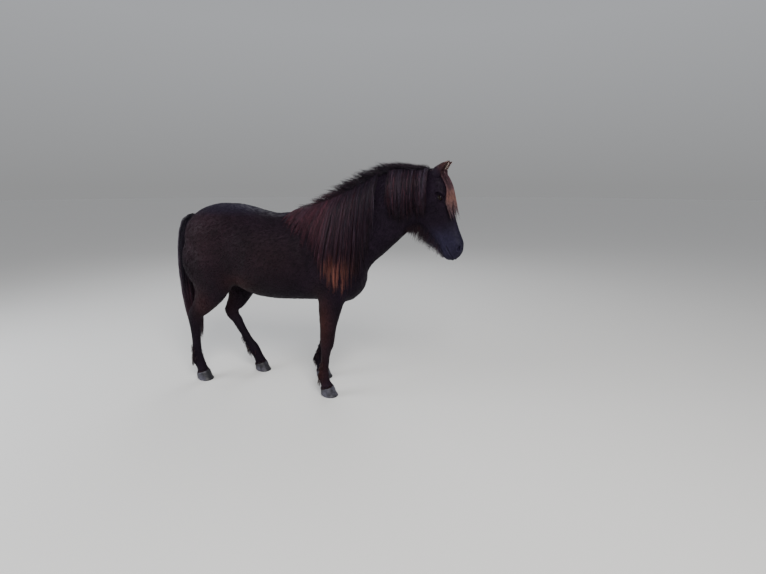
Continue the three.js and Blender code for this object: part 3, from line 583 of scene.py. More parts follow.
# Lids, nostrils, mouth and lips, pressed into the skin of the head
def shape_head(mesh):
    points, corners, totals = mesh_arrays(mesh)
    normal = normals_of(points, corners, totals)
    down, out, aside = from_head(points)
    head = on_head(points)
    wide = np.abs(aside)

    # Nostrils and their wings
    push = np.zeros(len(points))
    for step_down, step_out, long, tall, lean, deep in NOSTRILS:
        u, v = turned(down - step_down, out - step_out, lean)
        r = np.hypot(u / long, v / tall)
        push += (deep * (1 - smoothstep(0.45, 1.0, r)) + 3.2 * bell(r, 1.35, 0.3)) * (wide > 22)

    # The mouth's line, with a lip on each side of it, and the chin
    gap, over = mouth_gap(down, out)
    mouth = -6.5 * bell(gap, 0, 2.6) + 3.2 * bell(np.abs(over), 9, 6) * smoothstep(478, 505, down)
    mouth += 5 * bell(down, 545, 26) * bell(out, -82, 18)
    push = (push + mouth * (down > 470)) * head
    points = points + normal * push[:, None]

    # Lids that hug the eyeball, and the fold above them
    u = (down - EYE_DOWN - 1) * 0.94 + (out - EYE_OUT) * 0.3
    v = (out - EYE_OUT) * 0.94 - (down - EYE_DOWN - 1) * 0.3
    opening = np.hypot(u / 20.0, v / np.where(v > 0, 12.0, 10.0))
    lid = EYE_SIDE + np.sqrt(np.maximum((EYE_RADIUS + LID_THICKNESS) ** 2 - u * u - v * v, 20))
    hidden = EYE_SIDE + np.sqrt(np.maximum((EYE_RADIUS - 6) ** 2 - u * u - v * v, 4))
    target = lerp(hidden, lid, smoothstep(0.86, 1.02, opening))
    here = (wide > 40) * head
    fold = (-2.6 * bell(opening, 1.75, 0.2) + 4.0 * bell(opening, 2.3, 0.5) * (v > 0)) * here
    moved = (target - wide) * (1 - smoothstep(1.25, 2.3, opening)) * here + fold
    points[:, 1] += np.sign(aside) * moved
    mesh.vertices.foreach_set("co", points_in_row(points))


# The ear's leaf. How far along it, half width, half depth, shift forwards, how far it wraps round
EAR_ROWS = [
    [-0.2, 19, 25, 0, 172],
    [0.05, 26, 37, 0, 162],
    [0.16, 28, 37, 0, 146],
    [0.3, 29, 34, 1, 132],
    [0.5, 26, 28, 2, 122],
    [0.68, 19, 20.5, 3, 116],
    [0.84, 10.5, 12, 3.5, 112],
    [0.94, 4.5, 5.5, 4.5, 108],
    [1.0, 1.0, 1.4, 5, 105],
]
EAR_ROUND = 25


def ear_frame(side):
    base = head_place(35.0, 22.0, side * 50.0)
    step = np.array([78, side * 16, 78], float)
    length = np.linalg.norm(step)
    along = step / length
    opening = np.array([0.6, side * 0.3, -0.75])
    opening = unit(opening - along * (opening @ along))
    return base, along, length, opening, np.cross(along, opening)


# A point on the ear: how far along, how far round from its back in degrees, how far inside its skin
def ear_point(side, at, degrees, inside):
    base, along, length, opening, across = ear_frame(side)
    wide, deep, shift, _ = row_at(EAR_ROWS, at)
    sideways = np.maximum(wide - inside, 0.3) * np.sin(np.radians(degrees))
    back = shift - np.maximum(deep - inside, 0.3) * np.cos(np.radians(degrees))
    steps = ((at * length, along), (sideways, across), (back, opening))
    return sum((np.multiply.outer(far, way) for far, way in steps), base)


def ear_shell(side):
    rings = []
    for at in np.linspace(-0.2, 1, 34):
        wrap = row_at(EAR_ROWS, at)[3]
        turns = np.linspace(-wrap, wrap, EAR_ROUND)
        flat = np.full(EAR_ROUND, at)
        inner = ear_point(side, flat, turns[::-1], lerp(4.6, 1.2, max(at, 0)))
        rings.append(np.concatenate([ear_point(side, flat, turns, 0), inner]))
    return skin_over(np.array(rings))


# Colours of the coat and of the long hair, before their fine variation
BLACK = np.array([0.0068, 0.0034, 0.0078])
BROWN = np.array([0.0125, 0.0062, 0.0078])
RUST = np.array([0.0400, 0.0130, 0.0090])
# Slate blue of painted sky sheen, laid on the top of the back and croup and over the lower face
SKY_SHEEN_SLATE = np.array([0.0150, 0.0132, 0.0290])
PLUM = np.array([0.0300, 0.0105, 0.0145])
EAR_BACK = np.array([0.0270, 0.0115, 0.0115])
EAR_LINING = np.array([0.1600, 0.1200, 0.1050])
EAR_HAIR = np.array([0.4800, 0.3900, 0.3500])
AUBURN = np.array([0.125, 0.038, 0.054])
# Copper of mane hair bleached by the sun, made brighter with painted sunlight
BLEACHED_SUNLIT_COPPER = np.array([0.740, 0.225, 0.145])
PALE_TIP = np.array([0.440, 0.215, 0.155])
MAUVE = np.array([0.110, 0.052, 0.068])
# Pale slate blue of painted sky sheen, on the tips of the forelock
PALE_SHEEN_SLATE = np.array([0.075, 0.070, 0.110])
# Grey violet of painted highlight on single strands of long hair
SHEEN_VIOLET = np.array([0.075, 0.056, 0.084])
INK = np.array([0.0048, 0.0030, 0.0068])
# Patches of the coat: colour, share, x, z, radius along x, radius along z
PATCHES = [
    (BROWN, 0.75, -420, 1020, 330, 230),
    (BROWN, 0.7, -930, 1050, 260, 260),
    (PLUM, 0.25, -950, 1250, 330, 200),
    (RUST, 0.55, -40, 560, 70, 190),
    (RUST, 0.45, -75, 200, 60, 120),
    (RUST, 0.35, -650, 800, 130, 90),
    (RUST, 0.3, -1010, 640, 110, 160),
]


def toward(colour, target, share):
    return colour + (target - colour) * share[..., None]


# The back of an ear is brown towards its tip and dark at its root
def ear_back_colour(p):
    base, along, length, _, _ = ear_frame(1)
    level = np.stack([p[..., 0], sway(p[..., 0]) + np.abs(from_head(p)[2]), p[..., 2]], axis=-1)
    return toward(BLACK, EAR_BACK, smoothstep(0.05, 0.75, (level - base) @ along / length))


# The coat's colour at each place, with its patches, plus painted sky sheen in slate blue on the top of the
# back and over the lower face
def coat_colour_and_sheen(p):
    colour = np.broadcast_to(BLACK, p.shape)
    for target, share, *place in PATCHES:
        colour = toward(colour, target, share * near(p, *place))
    # Painted sky sheen: slate blue along the top of the back and croup
    colour = toward(colour, SKY_SHEEN_SLATE, 0.5 * smoothstep(1280, 1350, p[..., 2]) * (p[..., 0] < -150))
    down, out, _ = from_head(p)
    # Painted sky sheen: slate blue over the lower face and muzzle
    muzzle_sheen = smoothstep(300, 470, down) * (p[..., 2] > HEAD_LEVEL) * (out > -240)
    return toward(colour, SKY_SHEEN_SLATE, 0.8 * muzzle_sheen)


# A place at the neck's root as x and z, and the way the neck runs from there
NECK_ROOT = (60.0, 1050.0)
ALONG_NECK = (0.78, 0.62)
# Left, low side, width and height of each chart of the skin's unwrap: torso, neck, head and legs
CHARTS = np.array(
    [
        (0.01, 0.01, 0.47, 0.47),
        (0.51, 0.01, 0.22, 0.47),
        (0.77, 0.01, 0.22, 0.47),
        *((left, 0.52, 0.22, 0.46) for left in (0.01, 0.26, 0.51, 0.76)),
    ]
)


def chart_of(p):
    down, out, _ = from_head(p)
    chart = np.where(p[:, 0] > 80, 1, 0)
    chart = np.where((down > -40) & (out > -225) & (p[:, 0] > 560), 2, chart)
    legs = np.where(p[:, 0] > -450, 3, 5) + (p[:, 1] > 0)
    return np.where(p[:, 2] < 690, legs, chart)


# Height, x and y along the middle of a leg, from the ground up
def leg_axis(rows):
    table = np.asarray(rows)
    middle = (table[:, 0:2] + table[:, 2:4]) / 2
    order = np.argsort(middle[:, 1])
    return middle[order, 1], middle[order, 0], table[order, 4]


LEG_AXES = [leg_axis(rows) for rows in LEG_ROWS.values()]


# How far along its chart a place lies and how far round it
def unwrap(p, chart):
    down, out, aside = from_head(p)
    x, y, z = p.T
    away_x, away_z = x - NECK_ROOT[0], z - NECK_ROOT[1]
    ahead = away_x * ALONG_NECK[0] + away_z * ALONG_NECK[1]
    rise = away_z * ALONG_NECK[0] - away_x * ALONG_NECK[1]
    alongs = [(x + 1240) / 1500, (ahead + 320) / 1300, (down + 60) / 720] + [z / 720] * 4
    ways = [(y, 1030 - z), (aside, 60 - rise), (aside, -60 - out)]
    ways += [(y - np.interp(z, heights, ys), x - np.interp(z, heights, xs)) for heights, xs, ys in LEG_AXES]
    turns = [np.arctan2(*way) for way in ways]
    return np.clip(np.choose(chart, alongs), 0, 1), np.choose(chart, turns) / (2 * np.pi) + 0.5


def on_chart(chart, along, turn):
    left, low, wide, tall = CHARTS[chart].T
    return np.stack([left + wide * along, low + tall * np.clip(turn, -0.02, 1.02)], axis=-1)


# The unwrap of a whole mesh, corner by corner, so that no face is drawn across a chart's edge
def unwrap_faces(points, corners, totals):
    face_of = np.repeat(np.arange(len(totals)), totals)
    centre = [np.bincount(face_of, points[corners, k]) / totals for k in range(3)]
    centre = np.stack(centre, axis=1)
    chart = chart_of(centre)
    _, middle = unwrap(centre, chart)
    along, turn = unwrap(points[corners], chart[face_of])
    return on_chart(chart[face_of], along, turn - np.round(turn - middle[face_of]))


# Solid locks: each follows its centre line, flat side outwards, and closes in a point
PATCH = 0.003


def tubes(name, centres, outs, wide, flat, tints, roots):
    count, n = centres.shape[:2]
    along = unit(np.gradient(centres, axis=1))
    aside = unit(np.cross(along, outs))
    body = centres[:, :-1]
    across = (aside * wide[..., None])[:, :-1]
    lift = (np.cross(aside, along) * (wide * flat)[..., None])[:, :-1]
    ring = np.stack([body + across, body + lift, body - across], axis=2)
    points = np.concatenate([ring.reshape(count, -1, 3), centres[:, -1:]], axis=1)
    per = 3 * (n - 1) + 1
    local, uv = [], []
    for r in range(n - 1):
        low, high = r / (n - 1), (r + 1) / (n - 1)
        for a, b in ((0, 1), (1, 2), (2, 0)):
            local += [r * 3 + b, r * 3 + a]
            uv += [((a + 1) / 3, low), (a / 3, low)]
            if r < n - 2:
                local += [(r + 1) * 3 + a, (r + 1) * 3 + b]
                uv += [(a / 3, high), ((a + 1) / 3, high)]
            else:
                local.append(per - 1)
                uv.append(((a + 0.5) / 3, 1))
    local = np.array(local + [0, 1, 2])
    uv = np.array(uv + [(0, 0), (0.5, 0), (1, 0)])
    totals = np.array([4] * 3 * (n - 2) + [3] * 4)
    corners = (local + (np.arange(count) * per)[:, None]).ravel()
    shade = np.concatenate([np.repeat(tints[:, :-1], 3, axis=1), tints[:, -1:]], axis=1)
    chart = chart_of(roots)
    bake = on_chart(chart, *unwrap(roots, chart))
    uvs = (bake[:, None] + (uv - 0.5) * PATCH).reshape(-1, 2)
    totals = np.tile(totals, count)
    return object_from(name, points.reshape(-1, 3), corners, totals, shade.reshape(-1, 3), uvs)


# Many strands round each guide. Guides are (locks, points, 3) and outs point away from the flesh
def strands(guides, outs, per, n, rng, spread, gather, length, wave, depth):
    locks, m = guides.shape[:2]
    t = np.linspace(0, 1, n)
    own = rng.uniform(*length, (locks, per))[..., None]
    place = np.clip(t * own, 0, 1) * (m - 1)
    low = np.minimum(place.astype(int), m - 2)
    part = (place - low)[..., None]
    which = np.arange(locks)[:, None, None]
    path = guides[which, low] * (1 - part) + guides[which, low + 1] * part
    face = unit(outs[which, low] * (1 - part) + outs[which, low + 1] * part)
    aside = unit(np.cross(unit(np.gradient(path, axis=2)), face))
    rho = np.sqrt(rng.uniform(0, 1, (locks, per)))[..., None]
    phi, phase = (rng.uniform(0, 2 * np.pi, (locks, per))[..., None] for _ in range(2))
    fan = spread * (1 - gather * (t * own) ** 1.7)
    swing = wave * np.sin(2 * np.pi * 1.3 * t + phase) * t
    path = path + aside * (fan * rho * np.cos(phi) + swing)[..., None]
    path = path + face * (fan * depth * rho * np.sin(phi))[..., None]
    return path.reshape(-1, n, 3), face.reshape(-1, n, 3)


# How wide a strand is at its root and at its tip, against its middle, and how thick
LONG_STRAND = (0.6, 0.15, 0.55)
SHORT_STRAND = (0.7, 0.1, 0.6)
EAR_STRAND = (0.8, 0.1, 0.6)


# Hair of one kind. Each lock is a guide, the way its flat side faces and a mark that its tint
# reads. How the strands lie is their spread, how far they gather, their length, wave and depth
def hair_piece(name, seed, locks, tint, per, lay, width, shape, nodes=(), n=None):
    rng = np.random.default_rng(seed)
    guides, outs, marks = (np.array(part) for part in zip(*locks(rng)))
    if outs.ndim == 2:
        outs = np.repeat(outs[:, None], guides.shape[1], axis=1)
    n = n or guides.shape[1]
    path, face = strands(guides, outs, per, n, rng, *lay)
    path[:, :, 2] = np.maximum(path[:, :, 2], FLOOR_GAP)
    t = np.linspace(0, 1, n)
    tints = tint(rng, path, t, marks, per)
    root, tip, flat = shape
    taper = np.minimum(1, root + (1 - root) * np.minimum(t / 0.25, 1)) * (1 - (1 - tip) * t**2.2)
    wide = rng.uniform(*width, len(path))[:, None] * taper
    finish_piece(tubes(name, path, face, wide, flat, tints, path[:, 0]), HAIR, "hair", *nodes)


# A guide that bows away from its root and falls
def bowed(place, bow, turn, fall, power, n):
    t = np.linspace(0, 1, n)[:, None]
    return place + bow * np.sin(t * turn) + t**power * np.array(fall)


def counted(count):
    return int(count * FULLNESS)


# Builds the skin
skin_mesh = body_shell()
refine(skin_mesh, on_head)
refine(skin_mesh, lambda p: on_head(p) & (near_eye(p) | on_muzzle(p)))
refine(skin_mesh, lambda p: on_head(p) & near_eye(p, 0.8))
shape_head(skin_mesh)
skin_points, skin_corners, skin_totals = mesh_arrays(skin_mesh)
bpy.data.meshes.remove(skin_mesh)
body_count = len(skin_points)
skin_tints = coat_colour_and_sheen(skin_points)
for ear_side in (-1, 1):
    ear_points, ear_faces = ear_shell(ear_side)
    skin_corners = np.concatenate([skin_corners, ear_faces.ravel() + len(skin_points)])
    skin_totals = np.concatenate([skin_totals, np.full(len(ear_faces), 3)])
    skin_points = np.concatenate([skin_points, ear_points])
    inside = (np.arange(len(ear_points)) % (2 * EAR_ROUND) >= EAR_ROUND)[:, None]
    skin_tints = np.concatenate([skin_tints, np.where(inside, EAR_LINING, ear_back_colour(ear_points))])
skin_uvs = unwrap_faces(skin_points, skin_corners, skin_totals)
skin = object_from("skin", skin_points, skin_corners, skin_totals, skin_tints, skin_uvs)
skin_normals = normals_of(skin_points, skin_corners, skin_totals)
skin_tree = BVHTree.FromObject(skin, bpy.context.evaluated_depsgraph_get())


# Where a line from a place first meets the skin, and the skin's normal there
def hit(origin, direction):
    start = Vector((np.asarray(origin, float) - ORIGIN) / 1000)
    place, normal, _, _ = skin_tree.ray_cast(start, Vector(direction))
    if place is None:
        return None, None
    return np.array(place) * 1000 + ORIGIN, np.array(normal)


def top_at(x):
    return hit((x, sway(x), 2500), (0, 0, -1))[0][2]


# A node of a material's tree. Each input takes a value or another node's output
def node(tree, kind, inputs, **settings):
    made = tree.nodes.new("ShaderNode" + kind)
    for name, value in settings.items():
        setattr(made, name, value)
    feed(tree, made, inputs)
    return made


def feed(tree, made, inputs):
    for name, value in inputs.items():
        if isinstance(value, bpy.types.NodeSocket):
            tree.links.new(value, made.inputs[name])
        else:
            made.inputs[name].default_value = value


def noise(tree, scale, detail, stretch=(1, 1, 1), distortion=0.0):
    where = node(tree, "TexCoord", {}).outputs["Object"]
    fit = node(tree, "Mapping", {"Vector": where, "Scale": stretch}).outputs["Vector"]
    inputs = {"Vector": fit, "Scale": scale, "Detail": detail, "Distortion": distortion}
    return node(tree, "TexNoise", inputs).outputs["Fac"]


def ranged(tree, source, new_low, new_high, low=0.3, high=0.7):
    inputs = {"Value": source, "From Min": low, "From Max": high, "To Min": new_low, "To Max": new_high}
    return node(tree, "MapRange", inputs).outputs["Result"]


def scaled(tree, colour, factor):
    return node(tree, "VectorMath", {0: colour, "Scale": factor}, operation="SCALE").outputs["Vector"]


def tinted(tree, factor):
    tint = node(tree, "Attribute", {}, attribute_type="GEOMETRY", attribute_name="tint").outputs["Color"]
    return scaled(tree, tint, factor)


def bump(tree, height, strength, distance):
    inputs = {"Height": height, "Strength": strength, "Distance": distance}
    return node(tree, "Bump", inputs).outputs["Normal"]


def ramp(tree, source, low, low_colour, high, high_colour):
    made = node(tree, "ValToRGB", {"Fac": source})
    for stop, place, colour in zip(made.color_ramp.elements, (low, high), (low_colour, high_colour)):
        stop.position = place
        stop.color = (*colour, 1)
    return made.outputs["Color"]


def coat_look(tree, rough, relief):
    broad = ranged(tree, noise(tree, 6.0, 3.0), 0.72, 1.32)
    fine = ranged(tree, noise(tree, 90.0, 4.0, (1, 1, 1), 0.4), 0.72, 1.3)
    hair_back = noise(tree, 120.0, 3.0, (0.16, 1, 0.7), 0.3)
    shade = node(tree, "Math", {0: broad, 1: fine}, operation="MULTIPLY").outputs[0]
    return {
        "Base Color": tinted(tree, shade),
        "Roughness": ranged(tree, hair_back, rough - 0.08, rough + 0.12),
        "Specular IOR Level": 0.3,
        "IOR": 1.22,
        "Sheen Weight": 0.012,
        "Sheen Roughness": 0.45,
        "Sheen Tint": (0.62, 0.66, 0.85, 1),
        "Normal": bump(tree, hair_back, relief, 0.0022),
    }


def hair_look(tree, rough):
    fine = noise(tree, 160.0, 3.0, (1, 1, 0.12), 0.2)
    return {
        "Base Color": tinted(tree, ranged(tree, fine, 0.7, 1.32)),
        "Roughness": ranged(tree, fine, rough - 0.06, rough + 0.1),
        "Specular IOR Level": 0.4,
        "IOR": 1.25,
        "Sheen Weight": 0.01,
        "Sheen Tint": (0.72, 0.7, 0.85, 1),
        "Normal": bump(tree, fine, 0.35, 0.001),
    }


def horn_look(tree):
    streak = noise(tree, 220.0, 4.0, (1, 1, 0.07))
    growth = noise(tree, 60.0, 2.0, (0.1, 0.1, 2.6), 0.3)
    inputs = {0: noise(tree, 13.0, 3.0), 1: 0.85, 2: ranged(tree, streak, -0.06, 0.22, 0.0, 1.0)}
    blend = node(tree, "Math", inputs, operation="MULTIPLY_ADD").outputs[0]
    colour = ramp(tree, blend, 0.47, (0.005, 0.0042, 0.008), 0.74, (0.088, 0.083, 0.116))
    return {
        "Base Color": scaled(tree, colour, ranged(tree, growth, 0.8, 1.15)),
        "Roughness": ranged(tree, streak, 0.42, 0.62),
        "Normal": bump(tree, growth, 0.45, 0.0012),
    }


def eye_look(tree):
    return {
        "Base Color": tinted(tree, ranged(tree, noise(tree, 700.0, 3.0), 0.7, 1.35)),
        "Roughness": 0.6,
        "Specular IOR Level": 0.0,
        "Coat Weight": 0.4,
        "Coat IOR": 1.35,
        "Coat Roughness": 0.03,
    }


def floor_look(tree):
    speck = ranged(tree, noise(tree, 3.0, 3.0), 0.72, 0.8)
    return {"Base Color": (0.72, 0.71, 0.69, 1), "Roughness": speck}


def material(name, look, *values):
    made = bpy.data.materials.new(name)
    made.use_nodes = True
    made.node_tree.nodes.clear()
    shader = node(made.node_tree, "BsdfPrincipled", look(made.node_tree, *values))
    node(made.node_tree, "OutputMaterial", {"Surface": shader.outputs["BSDF"]})
    return made


COAT = material("coat", coat_look, 0.56, 0.9)
FUR = material("fur", coat_look, 0.52, 0.3)
HAIR = material("long_hair", hair_look, 0.4)
HORN = material("horn", horn_look)
EYE = material("eye", eye_look)


def finish_piece(piece, look, slot, *nodes):
    piece.data.materials.append(look)
    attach(piece, "root")
    if nodes:
        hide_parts(*nodes)


FLESH = ["torso", "neck", "head", "ear_left", "ear_right", "leg_fore_left", "leg_fore_right"]
FLESH += ["leg_hind_left", "leg_hind_right"]
finish_piece(skin, COAT, "coat", *FLESH)

# Mane guides: a strand grows from the crest at the first x and ends at the x and z after it
MANE = [
    [-335, -385, 1292],
    [-265, -335, 1250],
    [-200, -275, 1212],
    [-140, -215, 1160],
    [-80, -152, 1100],
    [-20, -92, 1010],
    [40, -25, 925],
    [90, 28, 832],
    [140, 78, 804],
    [190, 132, 814],
    [230, 180, 842],
    [260, 224, 905],
    [285, 266, 1010],
    [306, 298, 1130],
    [322, 318, 1290],
    [345, 338, 1440],
    [392, 394, 1430],
    [422, 436, 1300],
    [490, 498, 1268],
    [550, 558, 1270],
    [610, 618, 1284],
    [655, 664, 1300],
    [682, 680, 1318],
]
# How far along a strand its points lie, closer together where it leaves the crest
MANE_STEPS = (0.0, 0.03, 0.07, 0.12, 0.2, 0.33, 0.48, 0.65, 0.82, 1.0)


def mane_guide(root, reach, lift, drift):
    top = top_at(root)
    tip_x, tip_z = row_at(MANE, root)
    knee_x = lerp(root, tip_x, lerp(0.75, 0.25, smoothstep(60, 240, root)))
    knee_z = top - (top - tip_z) * 0.33
    bulk = smoothstep(-300, -120, root)
    aside = sway(root) + 2 - 26 * (1 - bulk)
    path, outs = [], []
    for t in MANE_STEPS:
        d = t * reach
        u = 1 - d
        x = u * u * root + 2 * u * d * knee_x + d * d * tip_x
        z = u * u * (top + 4) + 2 * u * d * knee_z + d * d * tip_z
        z += 20 * bulk * bell(d, 0.055, 0.05)
        place = None
        for rise in range(0, 360, 12):
            place, normal = hit((x, -900, min(z, top - 20) + rise), (0, 1, 0))
            if place is not None:
                break
        if place is None:
            place, normal = np.array([x, sway(x), z]), np.array([0.0, -1.0, 0.0])
        settle = smoothstep(0.0, 0.16, d)
        y = lerp(aside, place[1] - lift * lerp(1, 0.7, d) * lerp(0.35, 1, bulk), settle)
        path.append([x + drift * math.sin(2.4 * d) * d, y, z if t > 0 else top - 8])
        outs.append(lerp(np.array([0.0, -0.3, 1.0]), np.array([normal[0] * 0.3, -1.0, 0.15]), settle))
    return path, outs


# Colours along strands of the mane: dark, with a few strands of painted grey-violet highlight, auburn at
# the withers and bleached copper low down where the longest hang, that copper made brighter with painted
# sunlight
def strand_tints(rng, path, t, roots, per, lock_painted_sheen):
    root_x, height = np.repeat(roots, per), path[:, :, 2]
    count = len(root_x)
    colour = np.broadcast_to(INK, (count, len(t), 3))
    # Painted highlight: some strands turn grey violet
    painted_sheen = np.clip(0.7 * lock_painted_sheen + rng.normal(0.06, 0.12, count), 0, 1) * rng.uniform(0, 1, count) ** 1.8
    colour = toward(colour, SHEEN_VIOLET, painted_sheen[:, None] * smoothstep(0.02, 0.3, t))
    withers = (0.12 + 0.88 * smoothstep(150, -60, root_x)) * rng.uniform(0, 1, count) ** 2.6
    colour = toward(colour, AUBURN, withers[:, None] * (0.45 + 0.55 * t))
    rusty = 0.5 * (1 - 0.5 * bell(root_x, 290, 70)) * rng.uniform(0, 1, count) ** 7
    colour = toward(colour, AUBURN, rusty[:, None] * smoothstep(0.1, 0.7, t))
    # Bleached copper low down in the mane, brighter than its own colour with painted sunlight
    bleached = bell(root_x, 122, 72)[:, None]
    start = rng.uniform(890, 1030, (count, 1))
    share = bleached * smoothstep(start, start - 120, height) * rng.uniform(0.15, 1.0, (count, 1)) ** 0.6
    colour = toward(colour, BLEACHED_SUNLIT_COPPER, share)
    ends = bleached * smoothstep(0.84, 1.0, t) * rng.uniform(0, 1, (count, 1)) ** 2
    colour = toward(colour, PALE_TIP, ends * (height < 930))
    return colour * rng.uniform(0.7, 1.3, (count, 1, 1))


def mane_locks(roots, reach, lifts):
    def locks(rng):
        for i, root in enumerate(roots):
            start = root + rng.uniform(-4, 4)
            lift = lifts[i % len(lifts)] * rng.uniform(0.7, 1.2)
            yield *mane_guide(start, rng.uniform(*reach), lift, rng.uniform(-18, 18)), root

    return locks


def mane_tint(rng, path, t, roots, per):
    # How much painted grey-violet highlight the strands of each lock get
    tone = np.repeat(rng.uniform(0, 1, len(roots)) ** 2.6, per)
    return strand_tints(rng, path, t, roots, per, tone)


CURTAIN = np.linspace(-246, 326, 190)
UPPER = np.linspace(412, 672, 100)
# Roots, reach and lifts of the guides, seed, strands to a guide, their spread and length
MANE_PIECES = {
    "mane_rear": (CURTAIN[:84], (0.72, 1.12), (8, 18, 30), 11, 33, 12, (0.66, 1.0)),
    "mane_front": (CURTAIN[84:], (0.95, 1.1), (10, 20, 32), 12, 29, 9, (0.84, 1.0)),
    "mane_upper": (UPPER, (0.84, 1.12), (8, 17, 27), 13, 25, 8, (0.84, 1.0)),
}
for mane_name, (*guides_of, mane_seed, mane_per, mane_spread, mane_length) in MANE_PIECES.items():
    mane_lay = (mane_spread, 0.62, mane_length, 4.0, 0.6)
    mane_parts = (mane_locks(*guides_of), mane_tint, counted(mane_per), mane_lay)
    hair_piece(mane_name, mane_seed, *mane_parts, (0.8, 1.7), LONG_STRAND, n=9)


CREST_LOCKS = 230
FORELOCK_LOCKS = 40
FORELOCK_LENGTH = 320.0
TAIL_LOCKS = 120


# Short hair that stands along the crest and leans both ways
def crest_locks(rng):
    t = np.linspace(0, 1, 6)[:, None]
    for root in np.linspace(-190, 676, CREST_LOCKS):
        root = root + rng.uniform(-4, 4)
        rise = rng.uniform(58, 88) * lerp(0.35, 1.0, smoothstep(-220, 160, root) ** 0.7)
        rise *= lerp(1.0, 0.8, smoothstep(590, 670, root))
        lean = rng.uniform(-46, 24)
        base = np.array([root, sway(root) + rng.uniform(-18, 14), top_at(root) - 7])
        back = rng.uniform(-124, -66)
        bend = np.array([back, lean, -rng.uniform(2, 22) - abs(lean) * 0.5])
        yield base + t * np.array([0, 0, rise]) + t**2 * bend, (0.2, -1.0, 0.2), root


def crest_tint(rng, path, t, roots, per):
    return strand_tints(rng, path, t * 0.5, roots, per, 0.1)


CREST_LAY = (13, 0.45, (0.66, 1.0), 2.0, 0.8)
hair_piece("crest_hair", 21, crest_locks, crest_tint, counted(14), CREST_LAY, (0.7, 1.5), SHORT_STRAND)


# Forelock, from the poll down the forehead, most of it to the right
def forelock_guide(start, end, reach, lift):
    path, outs = [], []
    inward = np.array([-OUT_OF_FACE[0], 0.0, -OUT_OF_FACE[1]])
    for t in np.linspace(0, 1, 8):
        at = 2 + FORELOCK_LENGTH * t * reach
        aside = np.clip(lerp(start, end, t * (1.4 - 0.4 * t)), -84, 42)
        origin = head_place(at, 300.0, aside)
        origin[1] = head_place(at, 50.0, aside)[1]
        place, _ = hit(origin, inward)
        if place is None or abs(from_head(place)[1] - 40) > 70:
            place = head_place(at, 20.0, aside)
        path.append(place - inward * lift * lerp(0.3, 1, min(1, t * 6)))
        outs.append(np.array([0.0, -0.3, 0.0]) - inward)
    return path, outs


def forelock_locks(rng):
    for i, s in enumerate(np.linspace(0, 1, FORELOCK_LOCKS)):
        end = lerp(16, -80, s) + rng.uniform(-6, 6)
        yield *forelock_guide(lerp(18, -36, s), end, rng.uniform(0.84, 1.14), (9, 16, 23)[i % 3]), 0


def forelock_tint(rng, path, t, *_):
    count = len(path)
    colour = MAUVE * rng.uniform(0.25, 1.0, (count, 1, 1)) ** 1.5
    light = rng.uniform(0.1, 1, (count, 1)) ** 1.5
    start = rng.uniform(0.34, 0.54, (count, 1))
    colour = toward(colour, PALE_TIP, 0.78 * light * smoothstep(start, start + 0.26, t))
    # Painted sky sheen: the forelock's tips turn pale slate blue
    colour = toward(colour, PALE_SHEEN_SLATE, smoothstep(0.78, 0.94, t) * 0.8)
    return colour * rng.uniform(0.7, 1.2, (count, 1, 1))


FORELOCK_LAY = (9, 0.55, (0.82, 1.0), 2.5, 0.6)
FORELOCK_PARTS = (forelock_locks, forelock_tint, counted(52), FORELOCK_LAY)
hair_piece("forelock", 31, *FORELOCK_PARTS, (0.55, 1.15), LONG_STRAND)

# Tail: how far down it, x and z of its middle, and its half width and half depth there
TAIL = [
    [0, -1085, 1268, 26, 24],
    [0.125, -1140, 1272, 32, 30],
    [0.25, -1190, 1245, 44, 38],
    [0.375, -1222, 1150, 62, 46],
    [0.5, -1233, 960, 84, 54],
    [0.625, -1231, 740, 92, 56],
    [0.75, -1222, 520, 80, 50],
    [0.875, -1208, 350, 54, 36],
    [1, -1196, 245, 16, 12],
]


def tail_place(at, turn, fill):
    x, z, wide, deep = row_at(TAIL, at)
    (x2, z2, _, _), (x1, z1, _, _) = row_at(TAIL, at + 0.01), row_at(TAIL, at - 0.01)
    h = deep * fill * np.sin(turn) / (np.hypot(x2 - x1, z2 - z1) + 1e-6)
    return np.stack([x + (z2 - z1) * h, wide * fill * np.cos(turn), z - (x2 - x1) * h], axis=-1)


def tail_locks(rng):
    t = np.linspace(0, 1, 10)
    for i in range(TAIL_LOCKS):
        at = lerp(rng.uniform(0.04, 0.34), rng.uniform(0.84, 1.0), t)
        fill = rng.uniform(0.55, 1.0) * (0.35 + 0.65 * smoothstep(0, 0.22, t))
        turn = 2 * np.pi * ((i * 0.618) % 1) + rng.uniform(-0.25, 0.25) * t
        yield tail_place(at, turn, fill), tail_place(at, turn, 1.0) - tail_place(at, turn, 0.4), 0


def tail_tint(rng, path, t, marks, per):
    # Painted highlight: some locks of the tail turn grey violet
    tone = np.repeat(rng.uniform(0, 1, len(marks)) ** 2.5, per)[:, None]
    colour = toward(INK, SHEEN_VIOLET, 0.5 * tone * smoothstep(0.05, 0.3, t))
    colour = toward(colour, AUBURN, rng.uniform(0, 0.7, (len(path), 1)) * smoothstep(0.5, 1, t))
    return colour * rng.uniform(0.75, 1.25, (len(path), 1, 1))


TAIL_PARTS = (tail_locks, tail_tint, counted(26), (14, 0.5, (0.78, 1.0), 5.0, 0.7))
hair_piece("tail_hair", 41, *TAIL_PARTS, (1.2, 2.3), LONG_STRAND, ["tail"])


# The fleshy dock inside the top of the tail
def dock_piece():
    turn = np.linspace(0, 2 * np.pi, 24, endpoint=False)
    at = np.linspace(0, 0.4, 24)
    fill = 0.62 * np.sqrt(1 - (at / 0.405) ** 4)
    rings = [tail_place(np.full(24, here), turn, full) for here, full in zip(at, fill)]
    points, faces = skin_over(np.array(rings))
    uvs = unwrap_faces(points, faces.ravel(), np.full(len(faces), 3))
    return triangles_object("tail_dock", points, faces, np.broadcast_to(INK, points.shape), uvs)


finish_piece(dock_piece(), COAT, "coat")

# How far the coronet rises from its middle to its front
CORONET_RISE = CORONET_FRONT * math.sin(CORONET_LEAN)
FEATHER_LOCKS = 90
FRINGE_LOCKS = 56


